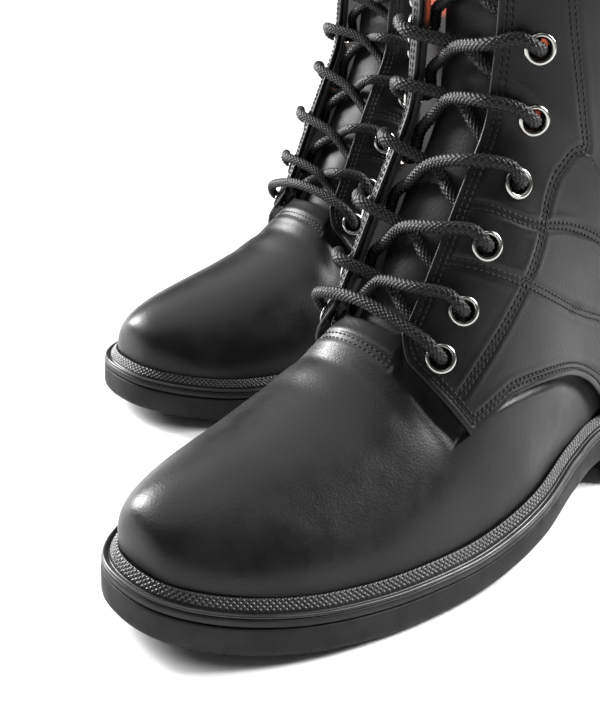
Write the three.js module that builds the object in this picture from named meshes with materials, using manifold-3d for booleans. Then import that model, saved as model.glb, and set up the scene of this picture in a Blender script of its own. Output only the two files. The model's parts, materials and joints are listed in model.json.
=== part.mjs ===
// A pair of laced leather work boots for firefighters, in millimetres, +Z up, toes towards -Y.
// Each boot is drawn in its own frame first: x across (lateral side +), "along" = distance
// forward from the back of the heel, z up from the floor. The left boot keeps that frame,
// the right boot is its mirror image, standing a little behind.
import * as THREE from 'three';
import { mergeVertices } from 'three/addons/utils/BufferGeometryUtils.js';
import Module from 'manifold-3d';

const wasm = await Module();
wasm.setup();

// ---------------------------------------------------------------- driving sizes
const soleLength = 300;
const soleWidthScale = 1; // widens or narrows the whole boot
const bootHeight = 236; // height of the front of the collar
const heelLift = 14;
const toeSpring = 8;
const lugDepth = 3.5;
const outsoleThickness = 6.2;
const midsoleThickness = 5.7;
const gap = 0.3; // clearance between neighbouring flat or turned pieces
const skinGap = 0.8; // clearance between curved layers of the upper
const leather = 1.6; // thickness of upper leather
const liningThickness = 1.5;
const tongueThickness = 3;
const laceDiameter = 4.8;
const facingHalfGap = 17; // half the opening between the two facings
const eyeletOffset = 27.5; // eyelet centre line to the middle of the boot
const eyeletRows = 7;
const eyeletOuterRadius = 5.6;
const eyeletHoleRadius = 3.5;
const firstRowStep = 18.5;
const rowStep = 23.8;
const upperInset = 7; // foot of the upper, inward from the edge of the sole
const pairSpread = 154.4; // right boot beside the left one
const pairStagger = 94.2; // right boot behind the left one
const pairTurn = THREE.MathUtils.degToRad(2.5);

// Sole levels above the curved underside of the outsole
const outsoleTop = lugDepth + outsoleThickness;
const midsoleBottom = outsoleTop + gap;
const midsoleTop = midsoleBottom + midsoleThickness;
const shankThickness = 1.5;
const boardBottom = midsoleTop + gap + shankThickness + gap;
const boardThickness = 2.5;
const footbedBottom = boardBottom + boardThickness + gap;
const footbedThickness = 4;
const seatLevel = midsoleTop + 1; // foot of the upper

// Layers of the upper, as offsets outward from the lasted surface
const quarterLayer = [skinGap, skinGap + leather];
const vampLayer = [-leather, 0];
const stiffenerThickness = 1.4;
const stiffenerLayer = [vampLayer[0] - skinGap - stiffenerThickness, vampLayer[0] - skinGap];
const deepLiningTop = stiffenerLayer[0] - skinGap;
const counterLayer = [stiffenerLayer[0], vampLayer[0]];
const vampTuck = 2.4; // how much deeper the vamp lies where a quarter covers it
const laceDepth = liningThickness + gap + skinGap + laceDiameter / 2;
const tongueTop = laceDepth + laceDiameter / 2 + skinGap;

// ---------------------------------------------------------------- small helpers
const clamp = THREE.MathUtils.clamp;
const lerp = THREE.MathUtils.lerp;
const smoothstep = THREE.MathUtils.smoothstep;

function range(count) {
  return Array.from({ length: count }, (_, index) => index);
}

// Straight-line look-up in a list of [input, output] pairs
function lookUp(pairs, value) {
  const last = pairs.length - 1;
  let index = 0;
  while (index < last - 1 && value > pairs[index + 1][0]) index += 1;
  const [x0, y0] = pairs[index];
  const [x1, y1] = pairs[index + 1];
  return lerp(y0, y1, clamp((value - x0) / (x1 - x0), 0, 1));
}

// ---------------------------------------------------------------- plan of the sole
// [across, along] as shares of the sole length, from the back of the heel round the lateral side
const solePlan = [
  [0, 0], [0.067, 0.02], [0.11, 0.083], [0.119, 0.167], [0.107, 0.267], [0.128, 0.36],
  [0.162, 0.467], [0.177, 0.567], [0.18, 0.667], [0.169, 0.773], [0.142, 0.872], [0.096, 0.95],
  [0.045, 0.99], [-0.007, 1], [-0.059, 0.99], [-0.108, 0.95], [-0.153, 0.872], [-0.167, 0.76],
  [-0.157, 0.65],
  [-0.117, 0.517], [-0.097, 0.383], [-0.107, 0.267], [-0.12, 0.167], [-0.11, 0.083],
  [-0.067, 0.02],
];
const planCurve = new THREE.CatmullRomCurve3(
  solePlan.map(([across, along]) => new THREE.Vector3(
    across * soleLength * soleWidthScale, along * soleLength, 0)),
  true, 'centripetal');

// The plan moved inward, as points in order round the sole
function insetPlan(inset, count) {
  const inwardTurn = new THREE.Vector3(0, 0, 1);
  return range(count).map((index) => {
    const share = index / count;
    const inward = planCurve.getTangent(share).cross(inwardTurn).negate();
    return planCurve.getPoint(share).addScaledVector(inward, inset);
  });
}

// Lateral and medial edges of the inset plan, each as [along, across] pairs from heel to toe
function planEdges(inset) {
  const points = insetPlan(inset, 240);
  const toe = points.reduce((best, point, i) => (point.y > points[best].y ? i : best), 0);
  const heel = points[0];
  const forward = (list) => list.filter((p, i) => i === 0 || p.y > Math.max(
    ...list.slice(0, i).map((q) => q.y))).map((p) => [p.y, p.x]);
  return {
    lateral: forward(points.slice(0, toe + 1)),
    medial: forward([heel, ...points.slice(toe).reverse()]),
    back: heel.y,
    front: points[toe].y,
  };
}

// Height of the curved underside of the sole: heel lift at the back, toe spring at the front
const ballStart = 0.633 * soleLength;
const heelFront = 0.24 * soleLength;
const springStart = 0.717 * soleLength;
function soleCurve(along) {
  const lift = heelLift * (1 - smoothstep(along, heelFront - 2, ballStart));
  const spring = Math.max(0, (along - springStart) / (soleLength - springStart));
  return lift + toeSpring * spring * spring;
}

// ---------------------------------------------------------------- the lasted surface
// Fan of sections from the toe tip to the collar. Each joins a point on the front line of the
// boot to a point on its base or back line: [front along, front height, base along, base lift,
// front half width, back half width, middle of the front, squareness]
const lengthScale = soleLength / 300;
const heightScale = bootHeight / 236;
const sections = [
  [293, 31, 293, 1, 44, 44, -2, 0],
  [292.8, 45.5, 289, 0, 44, 44, -4, 0],
  [276, 52.5, 277, 0, 44, 44, -4, -0.03],
  [258, 57, 257, 0, 44, 44, -4, -0.05],
  [234, 63, 231, 0, 44, 44, -5, -0.03],
  [212, 70.5, 198, 0, 44, 44, -6, 0.02],
  [195, 84, 165, 0, 44, 42, -6, 0.04],
  [181, 118, 125, 0, 41, 36, -4, 0.08],
  [168, 145, 82, 0, 40, 32, -3, 0.12],
  [161, 164, 42, 0, 40, 32, -3, 0.12],
  [160.5, 174, 16, 0, 40, 32, -3, 0.12],
  [160, 182, 6, 2, 40, 32, -3, 0.12],
  [160, 190, 4, 30, 40, 33, -3, 0.12],
  [160, 200, 8, 62, 40, 35, -3, 0.12],
  [161, 212, 17, 100, 41, 37, -3, 0.12],
  [162, 224, 24, 142, 42, 39, -3, 0.12],
  [163, 236, 30, 185, 43, 41, -3, 0.12],
].map(([frontAlong, frontHeight, baseAlong, baseLift, frontWidth, backWidth, middle, square]) => [
  frontAlong * lengthScale, frontHeight * heightScale, baseAlong * lengthScale,
  baseLift * heightScale, frontWidth * soleWidthScale, backWidth * soleWidthScale,
  middle * soleWidthScale, square,
]);
const collar = sections.length - 1;
const fullFoot = 5; // sections up to here take their width from the sole
const fullShaft = 8; // sections from here on take their own width
const footEdges = planEdges(upperInset);

// Smooth (cubic B-spline) value of every column at a fractional section number
function sectionAt(u) {
  const beyond = (end, inner) => end.map((value, k) => 2 * value - inner[k]);
  const padded = [beyond(sections[0], sections[1]), ...sections,
    beyond(sections[collar], sections[collar - 1])];
  const first = clamp(Math.floor(u), 0, collar - 1);
  const t = u - first;
  const weights = [(1 - t) ** 3, 3 * t ** 3 - 6 * t ** 2 + 4,
    -3 * t ** 3 + 3 * t ** 2 + 3 * t + 1, t ** 3];
  return sections[0].map((_, column) => weights.reduce(
    (sum, weight, k) => sum + weight * padded[first + k][column] / 6, 0));
}

// Point of the lasted surface: phi runs from -1 (medial base) over 0 (front line) to 1 (lateral)
function lastPoint(u, phi) {
  const [frontAlong, frontHeight, baseAlong, baseLift, frontWidth, backWidth, middle, square] =
    sectionAt(u);
  const lateral = lookUp(footEdges.lateral, baseAlong);
  const medial = lookUp(footEdges.medial, baseAlong);
  const closing = smoothstep(baseLift, 4, 24);
  const soleHalf = (lateral - medial) / 2;
  const own = smoothstep(u, fullFoot, fullShaft);
  const sides = 1.03 * soleHalf;
  const front = lerp(sides, frontWidth, own);
  const back = Math.max(lerp(sides, backWidth, own), 1e-6);
  const open = clamp(soleHalf * (1 - closing) / back, 0, 1);
  const end = Math.PI - Math.asin(open);
  const share = Math.abs(phi);
  const angle = share * end;
  const corner = angle < Math.PI / 2 ? square * Math.sin(2 * angle) ** 2 : 0;
  const halfWidth = lerp(front, back, smoothstep(share, 0, 1)) * (1 + corner) * Math.sin(angle);
  const rise = ((1 + corner) * Math.cos(angle) - Math.cos(end)) / (1 - Math.cos(end));
  const baseMiddle = lerp((lateral + medial) / 2, middle / 2, closing);
  const baseHeight = soleCurve(baseAlong) + seatLevel + baseLift;
  return new THREE.Vector3(
    lerp(baseMiddle, middle, rise) + Math.sign(phi) * halfWidth,
    lerp(baseAlong, frontAlong, rise),
    lerp(baseHeight, frontHeight, rise));
}

// Outward direction; on the middle line of toe and back it has no sideways part
function lastNormal(u, phi) {
  const step = 0.01;
  const nearTip = Math.max(u, 2 * step);
  const along = lastPoint(Math.min(nearTip + step, collar), phi)
    .sub(lastPoint(nearTip - step, phi));
  const side = clamp(phi, -1 + step, 1 - step);
  const around = lastPoint(nearTip, side + step).sub(lastPoint(nearTip, side - step));
  const normal = along.cross(around);
  const onMiddle = u === 0 || (Math.abs(phi) === 1 && sectionAt(u)[3] > 4);
  if (onMiddle) normal.x = 0;
  return normal.normalize();
}

function upperPoint(u, phi, offset) {
  return lastPoint(u, phi).addScaledVector(lastNormal(u, phi), offset);
}

// Place round a section where the surface is a given distance from its middle
function phiAtWidth(u, halfWidth) {
  let low = 0;
  let high = 0.7;
  for (let pass = 0; pass < 24; pass += 1) {
    const guess = (low + high) / 2;
    const width = (lastPoint(u, guess).x - lastPoint(u, -guess).x) / 2;
    if (width < halfWidth) low = guess;
    else high = guess;
  }
  return (low + high) / 2;
}

// Share of the way from the edge of the facing (0) to the base or back line (1)
function phiBehindFacing(u, share) {
  const edge = phiAtWidth(u, facingHalfGap);
  return edge + (1 - edge) * share;
}

// ---------------------------------------------------------------- making closed solids
function solidFrom(positions, indices) {
  const geometry = new THREE.BufferGeometry();
  geometry.setAttribute('position', new THREE.Float32BufferAttribute(positions, 3));
  geometry.setIndex(indices);
  return outwardFacing(geometry);
}

function outwardFacing(geometry) {
  const position = geometry.getAttribute('position');
  const index = geometry.getIndex();
  const corner = (k) => new THREE.Vector3().fromBufferAttribute(position, index.getX(k));
  let volume = 0;
  for (let k = 0; k < index.count; k += 3) {
    volume += corner(k).dot(corner(k + 1).cross(corner(k + 2)));
  }
  if (volume < 0) {
    const order = Array.from(index.array).reverse();
    geometry.setIndex(order);
  }
  return geometry;
}

// Two matching sheets of grid points joined round every open edge; points that meet are welded
function shell(rows, columns, outerAt, innerAt, keep = () => true) {
  const known = new Map();
  const outer = [];
  const inner = [];
  const vertex = (row, column) => {
    const point = outerAt(row, column);
    const key = point.toArray().map((value) => Math.round(value * 500)).join();
    if (!known.has(key)) {
      known.set(key, outer.length);
      outer.push(point);
      inner.push(innerAt(row, column));
    }
    return known.get(key);
  };
  const ids = range(rows + 1).map((row) => range(columns + 1).map((col) => vertex(row, col)));
  const faces = [];
  const addFace = (a, b, c) => {
    if (a !== b && b !== c && c !== a) faces.push([a, b, c]);
  };
  for (let row = 0; row < rows; row += 1) {
    for (let column = 0; column < columns; column += 1) {
      if (keep(row, column)) {
        const [a, b] = [ids[row][column], ids[row][column + 1]];
        const [c, d] = [ids[row + 1][column + 1], ids[row + 1][column]];
        addFace(a, b, c);
        addFace(a, c, d);
      }
    }
  }
  const total = outer.length;
  const indices = [];
  const edges = new Set(faces.flatMap(([a, b, c]) => [`${a},${b}`, `${b},${c}`, `${c},${a}`]));
  faces.forEach(([a, b, c]) => indices.push(a, b, c, total + a, total + c, total + b));
  edges.forEach((edge) => {
    const [a, b] = edge.split(',').map(Number);
    if (!edges.has(`${b},${a}`)) indices.push(b, a, total + a, b, total + a, total + b);
  });
  return solidFrom([...outer, ...inner].flatMap((point) => point.toArray()), indices);
}

// Piece of the upper between two offsets, over a patch given as (row share, column share) -> u, phi
function skin(rows, columns, patch, layerAt) {
  const at = (side) => (row, column) => {
    const [u, phi] = patch(row / rows, column / columns);
    return upperPoint(u, phi, layerAt(u, phi)[side]);
  };
  return shell(rows, columns, at(1), at(0));
}

// Level plate of the sole between two edges, following the curve of the underside
function plate(stations, lateralAt, medialAt, bottomAt, topAt) {
  const point = (heightAt) => (row, column) => {
    const along = stations[row];
    const across = column === 0 ? medialAt(along) : lateralAt(along);
    return new THREE.Vector3(across, along, heightAt(along));
  };
  return shell(stations.length - 1, 1, point(topAt), point(bottomAt));
}

// Distances along the sole, closer together towards the round ends
function roundStations(back, front, count) {
  return range(count + 1).map((i) => lerp(back, front, (1 - Math.cos(Math.PI * i / count)) / 2));
}

function solePlate(inset, bottom, top, count, margin = 0.4) {
  const edges = planEdges(inset);
  return plate(
    roundStations(edges.back + margin, edges.front - margin, count),
    (along) => lookUp(edges.lateral, along), (along) => lookUp(edges.medial, along),
    (along) => soleCurve(along) + bottom, (along) => soleCurve(along) + top);
}

function toManifold(geometry) {
  const bare = geometry.clone();
  bare.deleteAttribute('normal');
  bare.deleteAttribute('uv');
  const welded = mergeVertices(bare, 1e-4);
  return new wasm.Manifold(new wasm.Mesh({
    numProp: 3,
    vertProperties: new Float32Array(welded.getAttribute('position').array),
    triVerts: new Uint32Array(welded.getIndex().array),
  }));
}

function fromManifold(body) {
  const mesh = body.getMesh();
  const geometry = new THREE.BufferGeometry();
  geometry.setAttribute('position', new THREE.BufferAttribute(mesh.vertProperties, 3));
  geometry.setIndex(new THREE.BufferAttribute(mesh.triVerts, 1));
  return geometry;
}

function joined(pieces) {
  return fromManifold(pieces.map(toManifold).reduce((sum, piece) => sum.add(piece)));
}

// ---------------------------------------------------------------- lines drawn on the upper
// Lower edge of the quarter: section number against the share behind the facing edge.
// It runs across the tab, turns at the tab corner and arcs back down to the sole.
const quarterFoot = [
  [0, 6.02], [0.25, 6.02], [0.49, 6.08], [0.52, 6.8], [0.58, 7.22], [0.66, 7.7],
  [0.74, 7.98], [0.86, 8.17], [1, 8.3],
];
const quarterShares = [0, 0.13, 0.27, 0.4, 0.49, 0.52, 0.6, 0.7, 0.8, 0.9, 1];
const throat = 6.13; // section number where the vamp ends and the opening begins
const collarEdge = collar - 0.6; // top line of quarters and lining
const toeCapEnd = 3.1;
const counterTop = 13;
const counterFront = 0.58;
const liningStep = 0.12;
const liningThroat = 5.65; // the lining opens a little before the vamp ends
const liningRise = throat + 0.06; // from here the lining lies close behind the facings
const deepShare = 0.45; // behind this share the lining keeps clear of the heel counter
const tongueHalfBase = 15;
const tongueHalfTop = 25;

function quarterEdge(share) {
  return lookUp(quarterFoot, share);
}

// The vamp ends a little way under the quarter
function vampEdge(share) {
  const overlap = lerp(throat - quarterFoot[0][1], 0.35, smoothstep(share, 0.3, 0.52));
  return quarterEdge(share) + overlap;
}

function shareAt(u, phi) {
  const edge = phiAtWidth(Math.max(u, throat), facingHalfGap);
  return (Math.abs(phi) - edge) / (1 - edge);
}

// ---------------------------------------------------------------- pieces of the sole
const barPitch = 15;
const barLength = 9;
const barInset = 2;
const barRoot = 1; // how far a tread bar is sunk into the sole above it
const centreChannel = 6;

// Pairs of tread bars either side of a middle channel
function treadBars(back, count) {
  const edges = planEdges(barInset);
  const bottom = (along) => soleCurve(along) * (along > heelFront ? 1 : 0);
  const top = (along) => bottom(along) + lugDepth + barRoot;
  const half = centreChannel / 2;
  return range(count).flatMap((index) => {
    const start = back + index * barPitch;
    const stations = [start, start + barLength];
    const lateral = (along) => lookUp(edges.lateral, along);
    const medial = (along) => lookUp(edges.medial, along);
    return [
      plate(stations, lateral, () => half, bottom, top),
      plate(stations, () => -half, medial, bottom, top),
    ];
  });
}

function outsole() {
  const slab = solePlate(0, lugDepth, outsoleTop, 22);
  const firstBar = ballStart - 2 * barPitch;
  return joined([slab, ...treadBars(firstBar, 9)]);
}

function heel() {
  const edges = planEdges(0.5);
  const block = plate(
    [...roundStations(edges.back + 0.4, heelFront, 9).slice(0, 8), heelFront],
    (along) => lookUp(edges.lateral, along), (along) => lookUp(edges.medial, along),
    () => lugDepth, (along) => soleCurve(along) + lugDepth - gap);
  return joined([block, ...treadBars(7, 4)]);
}

function midsole() {
  return solePlate(0.3, midsoleBottom, midsoleTop, 22);
}

// Raised strip round the top of the sole, sloping down from the upper to the edge
function welt() {
  const count = 44;
  const rimInset = 0.8;
  const rimHeight = 1.2;
  const wallHeight = 4;
  const clearOfUpper = 2.2;
  const outline = insetPlan(rimInset, count);
  const besideVamp = insetPlan(upperInset - clearOfUpper, count);
  const besideQuarter = insetPlan(upperInset - quarterLayer[1] - clearOfUpper, count);
  const innerPoint = (index) => {
    const forward = smoothstep(besideVamp[index].y, heelFront, heelFront + 30);
    return besideQuarter[index].clone().lerp(besideVamp[index], forward);
  };
  const point = (row, column, height) => {
    const at = column === 0 ? innerPoint(row % count) : outline[row % count].clone();
    return at.setZ(soleCurve(at.y) + midsoleTop + gap + height);
  };
  return shell(count, 1,
    (row, column) => point(row, column, column === 0 ? wallHeight : rimHeight),
    (row, column) => point(row, column, 0));
}

const boardInset = upperInset - deepLiningTop + liningThickness + 3;

function insoleBoard() {
  return solePlate(boardInset, boardBottom, boardBottom + boardThickness, 16);
}

function footbed() {
  return solePlate(boardInset + 2.2, footbedBottom, footbedBottom + footbedThickness, 16);
}

function shank() {
  const halfWidth = 8;
  const stations = range(7).map((i) => lerp(0.2, 0.5, i / 6) * soleLength);
  return plate(stations, () => halfWidth, () => -halfWidth,
    (along) => soleCurve(along) + midsoleTop + gap,
    (along) => soleCurve(along) + midsoleTop + gap + shankThickness);
}

// ---------------------------------------------------------------- pieces of the upper
// 1 where the quarter covers this place of the vamp, 0 in front of it
function underQuarter(u, phi) {
  const edge = quarterEdge(shareAt(u, phi));
  return smoothstep(u, edge - 0.35, edge - 0.05);
}

function toeCap() {
  return skin(5, 10, (row, column) => [toeCapEnd * row ** 1.4, 2 * column - 1],
    () => stiffenerLayer);
}

function vamp() {
  const medial = [...quarterShares].reverse().map((share) => [-1, share]);
  const columns = [...medial, [0, 0], ...quarterShares.map((share) => [1, share])];
  return skin(13, columns.length - 1, (row, column) => {
    const [side, share] = columns[Math.round(column * (columns.length - 1))];
    const end = side === 0 ? throat : vampEdge(share);
    return [end * row ** 1.1, side * phiBehindFacing(end, share)];
  }, (u, phi) => vampLayer.map((offset) => offset - vampTuck * underQuarter(u, phi)));
}

// Side panel from the facing back to the heel seam; side is 1 lateral, -1 medial
function quarterPanel(side) {
  const seam = 0.998; // the two panels stop just short of each other at the back
  return skin(12, quarterShares.length - 1, (row, column) => {
    const share = quarterShares[Math.round(column * (quarterShares.length - 1))];
    const u = lerp(quarterEdge(share), collarEdge, row ** 1.2);
    return [u, side * Math.min(seam, phiBehindFacing(u, share))];
  }, () => quarterLayer);
}

// Stiffener moulded round the back of the heel
function heelCounter() {
  const half = 5;
  const bottom = 11.2;
  const place = (column) => {
    const share = lerp(counterFront, 1, column <= half ? column / half
      : (2 * half + 1 - column) / half);
    return { share, side: column <= half ? 1 : -1 };
  };
  const at = (offset) => (row, column) => {
    const { share, side } = place(column);
    const u = lerp(bottom, counterTop, row / 5);
    return upperPoint(u, side * phiBehindFacing(u, share), offset);
  };
  return shell(5, 2 * half + 1, at(counterLayer[1]), at(counterLayer[0]),
    (row, column) => column !== half);
}

// Offsets of the lining: deep behind toe cap, vamp and heel counter, close behind the facings
function liningLayer(u, phi) {
  const share = shareAt(u, phi);
  const start = lerp(liningRise, counterTop, smoothstep(share, 0.26, deepShare - 0.04));
  const behindQuarter = lerp(-gap, -2, smoothstep(share, 0.28, deepShare));
  const outside = lerp(deepLiningTop, behindQuarter,
    smoothstep(u, start, start + liningStep));
  return [outside - liningThickness, outside];
}

function lining() {
  const rows = [0, 0.25, 1, 2, 3.2, 4.4, 5.1, liningThroat, liningRise, liningRise + liningStep,
    7, 8, 9, 10, 11, 12, counterTop, counterTop + liningStep, collarEdge];
  const sideShares = [1, 0.82, 0.64, deepShare, 0.28, 0.13, 0];
  const count = sideShares.length;
  const columns = [...sideShares.map((share) => [-1, share]), [0, 0],
    ...[...sideShares].reverse().map((share) => [1, share])];
  const opening = (row, column) => rows[row] >= liningThroat
    && (column === count - 1 || column === count);
  const at = (sheet) => (row, column) => {
    const [side, share] = columns[column];
    const u = rows[row];
    const phi = side * phiBehindFacing(Math.max(u, throat), share);
    return upperPoint(u, phi, liningLayer(u, phi)[sheet]);
  };
  return shell(rows.length - 1, columns.length - 1, at(1), at(0),
    (row, column) => !opening(row, column));
}

function tongueHalfWidth(u) {
  return lerp(tongueHalfBase, tongueHalfTop, smoothstep(u, throat + 0.4, throat + 1.2));
}

const tongueFoot = liningThroat + 0.15;
function tongueDepth(u) {
  return -lerp(leather + 2 * skinGap, tongueTop, smoothstep(u, tongueFoot + 0.1, throat + 0.1));
}

function tongue() {
  return skin(11, 6, (row, column) => {
    const u = lerp(tongueFoot, collar, row ** 1.3);
    const edge = phiAtWidth(u, tongueHalfWidth(u));
    return [u, edge * (2 * column - 1)];
  }, (u) => [tongueDepth(u) - tongueThickness, tongueDepth(u)]);
}

// ---------------------------------------------------------------- eyelets and lace
// Section numbers of the eyelet rows, stepping up the eyelet line
function eyeletSections() {
  const start = throat + 0.2;
  const step = 0.02;
  const onLine = (u) => acrossPoint(u, eyeletOffset, 0);
  const found = [start];
  let travelled = 0;
  for (let u = start; found.length < eyeletRows; u += step) {
    travelled += onLine(u + step).distanceTo(onLine(u));
    const wanted = found.length === 1 ? firstRowStep : rowStep;
    if (travelled >= wanted) {
      found.push(u + step);
      travelled = 0;
    }
  }
  return found;
}

// Point a given distance across the front of the boot from its middle line
function acrossPoint(u, across, offset) {
  return upperPoint(u, Math.sign(across) * phiAtWidth(u, Math.abs(across)), offset);
}

const eyeletRowSections = eyeletSections();

function onEyelet(geometry, row, side) {
  const u = eyeletRowSections[row];
  const phi = side * phiAtWidth(u, eyeletOffset);
  const turn = new THREE.Quaternion().setFromUnitVectors(
    new THREE.Vector3(0, 1, 0), lastNormal(u, phi));
  const at = lastPoint(u, phi);
  return geometry.applyQuaternion(turn).translate(at.x, at.y, at.z);
}

const eyeletSides = 8;
function eyelet(row, side) {
  const barrel = eyeletHoleRadius + 0.6;
  const under = quarterLayer[1] + gap;
  const bottom = -liningThickness - 0.4;
  const profile = [
    [eyeletHoleRadius, bottom], [barrel, bottom], [barrel, under], [eyeletOuterRadius, under],
    [eyeletOuterRadius - 0.7, under + 0.9], [eyeletHoleRadius, under + 0.6],
    [eyeletHoleRadius, bottom],
  ].map(([radius, height]) => new THREE.Vector2(radius, height));
  return onEyelet(new THREE.LatheGeometry(profile, eyeletSides), row, side);
}

// The piece with a hole for every eyelet on the given sides
function punched(geometry, sides, corners) {
  const radius = (eyeletHoleRadius + 0.6 + gap) / Math.cos(Math.PI / corners);
  const depth = 12;
  const holes = sides.flatMap((side) => range(eyeletRows).map((row) => toManifold(onEyelet(
    new THREE.CylinderGeometry(radius, radius, depth, corners), row, side))));
  return fromManifold(holes.reduce((body, hole) => body.subtract(hole), toManifold(geometry)));
}

// Point beside an eyelet: so far towards the middle of the boot and so far outward
function byEyelet(row, side, inward, outward) {
  const u = eyeletRowSections[row];
  const centre = acrossPoint(u, side * eyeletOffset, 0);
  const normal = lastNormal(u, side * phiAtWidth(u, eyeletOffset));
  const towardsMiddle = acrossPoint(u, side * facingHalfGap, 0).sub(centre);
  towardsMiddle.addScaledVector(normal, -towardsMiddle.dot(normal)).normalize();
  return centre.addScaledVector(normal, outward).addScaledVector(towardsMiddle, inward);
}

const laceRadius = laceDiameter / 2;
const flangeTop = quarterLayer[1] + gap + 0.9;
const overFlange = flangeTop + laceRadius + 0.6;

// The lace passing down through an eyelet and on towards the edge of the facing, inside
function throughEyelet(row, side) {
  return [
    byEyelet(row, side, 8.5, overFlange - 0.4), byEyelet(row, side, 3.6, overFlange),
    byEyelet(row, side, 0.5, overFlange - 2), byEyelet(row, side, 0, flangeTop - 1.2),
    byEyelet(row, side, 0, -1), byEyelet(row, side, 0.6, -laceDepth),
  ];
}

// One half of the lace, from the bottom eyelet up to its tucked end. Every strand leaves
// under one facing, crosses the tongue and enters the next row from outside.
function laceHalf(startSide) {
  const onTongue = -tongueTop + laceRadius + skinGap / 2;
  const overStrand = onTongue + laceDiameter + 2 * gap;
  const overEdge = quarterLayer[1] + laceRadius + 3 * skinGap;
  const points = throughEyelet(0, startSide).slice(1);
  let side = startSide;
  for (let row = 0; row < eyeletRows - 1; row += 1) {
    const crossing = side < 0 ? overStrand : onTongue;
    const [low, high] = eyeletRowSections.slice(row, row + 2);
    points.push(
      acrossPoint(lerp(low, high, 0.12), side * (facingHalfGap + 2), -laceDepth),
      acrossPoint(lerp(low, high, 0.25), side * 0.6 * facingHalfGap, -laceDepth + 0.3),
      acrossPoint(lerp(low, high, 0.5), side * 0.1, crossing),
      acrossPoint(lerp(low, high, 0.76), -side * (facingHalfGap - 0.5), overEdge),
      ...throughEyelet(row + 1, -side));
    side = -side;
  }
  return [...points, ...tuckedEnd(side)];
}

// The end of the lace hanging down between the lining and the foot
function tuckedEnd(side) {
  const wall = deepLiningTop - liningThickness - laceRadius - skinGap;
  const stops = [[0.24, 13.7], [0.34, 12.6], [0.4, 11.4], [0.44, 10.2]];
  return stops.map(([share, u]) => upperPoint(u, side * phiBehindFacing(u, share), wall));
}

// Smooth curve stepped evenly from knot to knot, so tight bends get more steps
class KnotCurve extends THREE.CatmullRomCurve3 {
  getPointAt(share, target) {
    return this.getPoint(share, target);
  }

  getTangentAt(share, target) {
    return this.getTangent(share, target);
  }
}

function laceRoute() {
  const bar = acrossPoint(eyeletRowSections[0], 0.1, overFlange);
  return new KnotCurve([
    ...laceHalf(1).reverse(), byEyelet(0, 1, 9, overFlange + 0.6), bar,
    byEyelet(0, -1, 9, overFlange + 0.6), ...laceHalf(-1)]);
}

function lace() {
  const round = new THREE.Shape(range(8).map((i) => new THREE.Vector2(
    Math.cos(i * Math.PI / 4), Math.sin(i * Math.PI / 4)).multiplyScalar(laceRadius)));
  const route = laceRoute();
  return new THREE.ExtrudeGeometry(round,
    { steps: route.points.length - 1, bevelEnabled: false, extrudePath: route });
}

// ---------------------------------------------------------------- materials
const blackLeather = { color: 0x17171a, roughness: 0.42, metalness: 0 };
const blackRubber = { color: 0x141415, roughness: 0.7, metalness: 0 };
const paints = {
  outsole: blackRubber,
  heel: blackRubber,
  midsole: { color: 0x18181a, roughness: 0.5, metalness: 0 },
  welt: { color: 0x161617, roughness: 0.6, metalness: 0 },
  shank: { color: 0x9a9da1, roughness: 0.35, metalness: 1 },
  insole_board: { color: 0xb08d5c, roughness: 0.9, metalness: 0 },
  footbed: { color: 0x2a2a2c, roughness: 0.95, metalness: 0 },
  toe_cap: { color: 0xd8d2c4, roughness: 0.8, metalness: 0 },
  heel_counter: { color: 0xc9bfa8, roughness: 0.8, metalness: 0 },
  vamp: blackLeather,
  quarter_lateral: blackLeather,
  quarter_medial: blackLeather,
  lining: { color: 0xa8331c, roughness: 0.9, metalness: 0 },
  tongue: { color: 0x151517, roughness: 0.5, metalness: 0 },
  lace: { color: 0x0f0f10, roughness: 0.85, metalness: 0 },
  eyelet: { color: 0xb9babd, roughness: 0.25, metalness: 1 },
};

// ---------------------------------------------------------------- assembly
function bootPieces() {
  const pieces = {
    outsole: outsole(),
    heel: heel(),
    midsole: midsole(),
    welt: welt(),
    shank: shank(),
    insole_board: insoleBoard(),
    footbed: footbed(),
    toe_cap: toeCap(),
    heel_counter: heelCounter(),
    vamp: vamp(),
    quarter_lateral: punched(quarterPanel(1), [1], 8),
    quarter_medial: punched(quarterPanel(-1), [-1], 8),
    lining: punched(lining(), [1, -1], 6),
    tongue: tongue(),
    lace: lace(),
  };
  range(eyeletRows).forEach((row) => {
    pieces[`eyelet_lateral_${row + 1}`] = eyelet(row, 1);
    pieces[`eyelet_medial_${row + 1}`] = eyelet(row, -1);
  });
  return pieces;
}

// From the boot's own frame (along = forward) to the pair's frame (forward = -Y)
const toPairFrame = new THREE.Matrix4().makeScale(1, -1, 1);
const mirror = new THREE.Matrix4().makeScale(-1, 1, 1);
const aboutToe = new THREE.Matrix4().makeTranslation(0, -soleLength, 0)
  .multiply(new THREE.Matrix4().makeRotationZ(-pairTurn))
  .multiply(new THREE.Matrix4().makeTranslation(0, soleLength, 0));
const placements = {
  left: toPairFrame,
  right: new THREE.Matrix4().makeTranslation(-pairSpread, pairStagger, 0)
    .multiply(aboutToe).multiply(mirror).multiply(toPairFrame),
};

function placed(geometry, matrix) {
  const bare = geometry.clone();
  bare.deleteAttribute('normal');
  bare.deleteAttribute('uv');
  const welded = mergeVertices(bare, 1e-4);
  welded.applyMatrix4(matrix);
  return outwardFacing(welded);
}

const group = new THREE.Group();
group.name = 'fire_boots';
const pieces = bootPieces();
Object.entries(placements).forEach(([side, matrix]) => {
  Object.entries(pieces).forEach(([name, geometry]) => {
    const paint = paints[name] ?? paints.eyelet;
    const mesh = new THREE.Mesh(placed(geometry, matrix), new THREE.MeshStandardMaterial(paint));
    mesh.name = `${name}_${side}`;
    group.add(mesh);
  });
});

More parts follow.
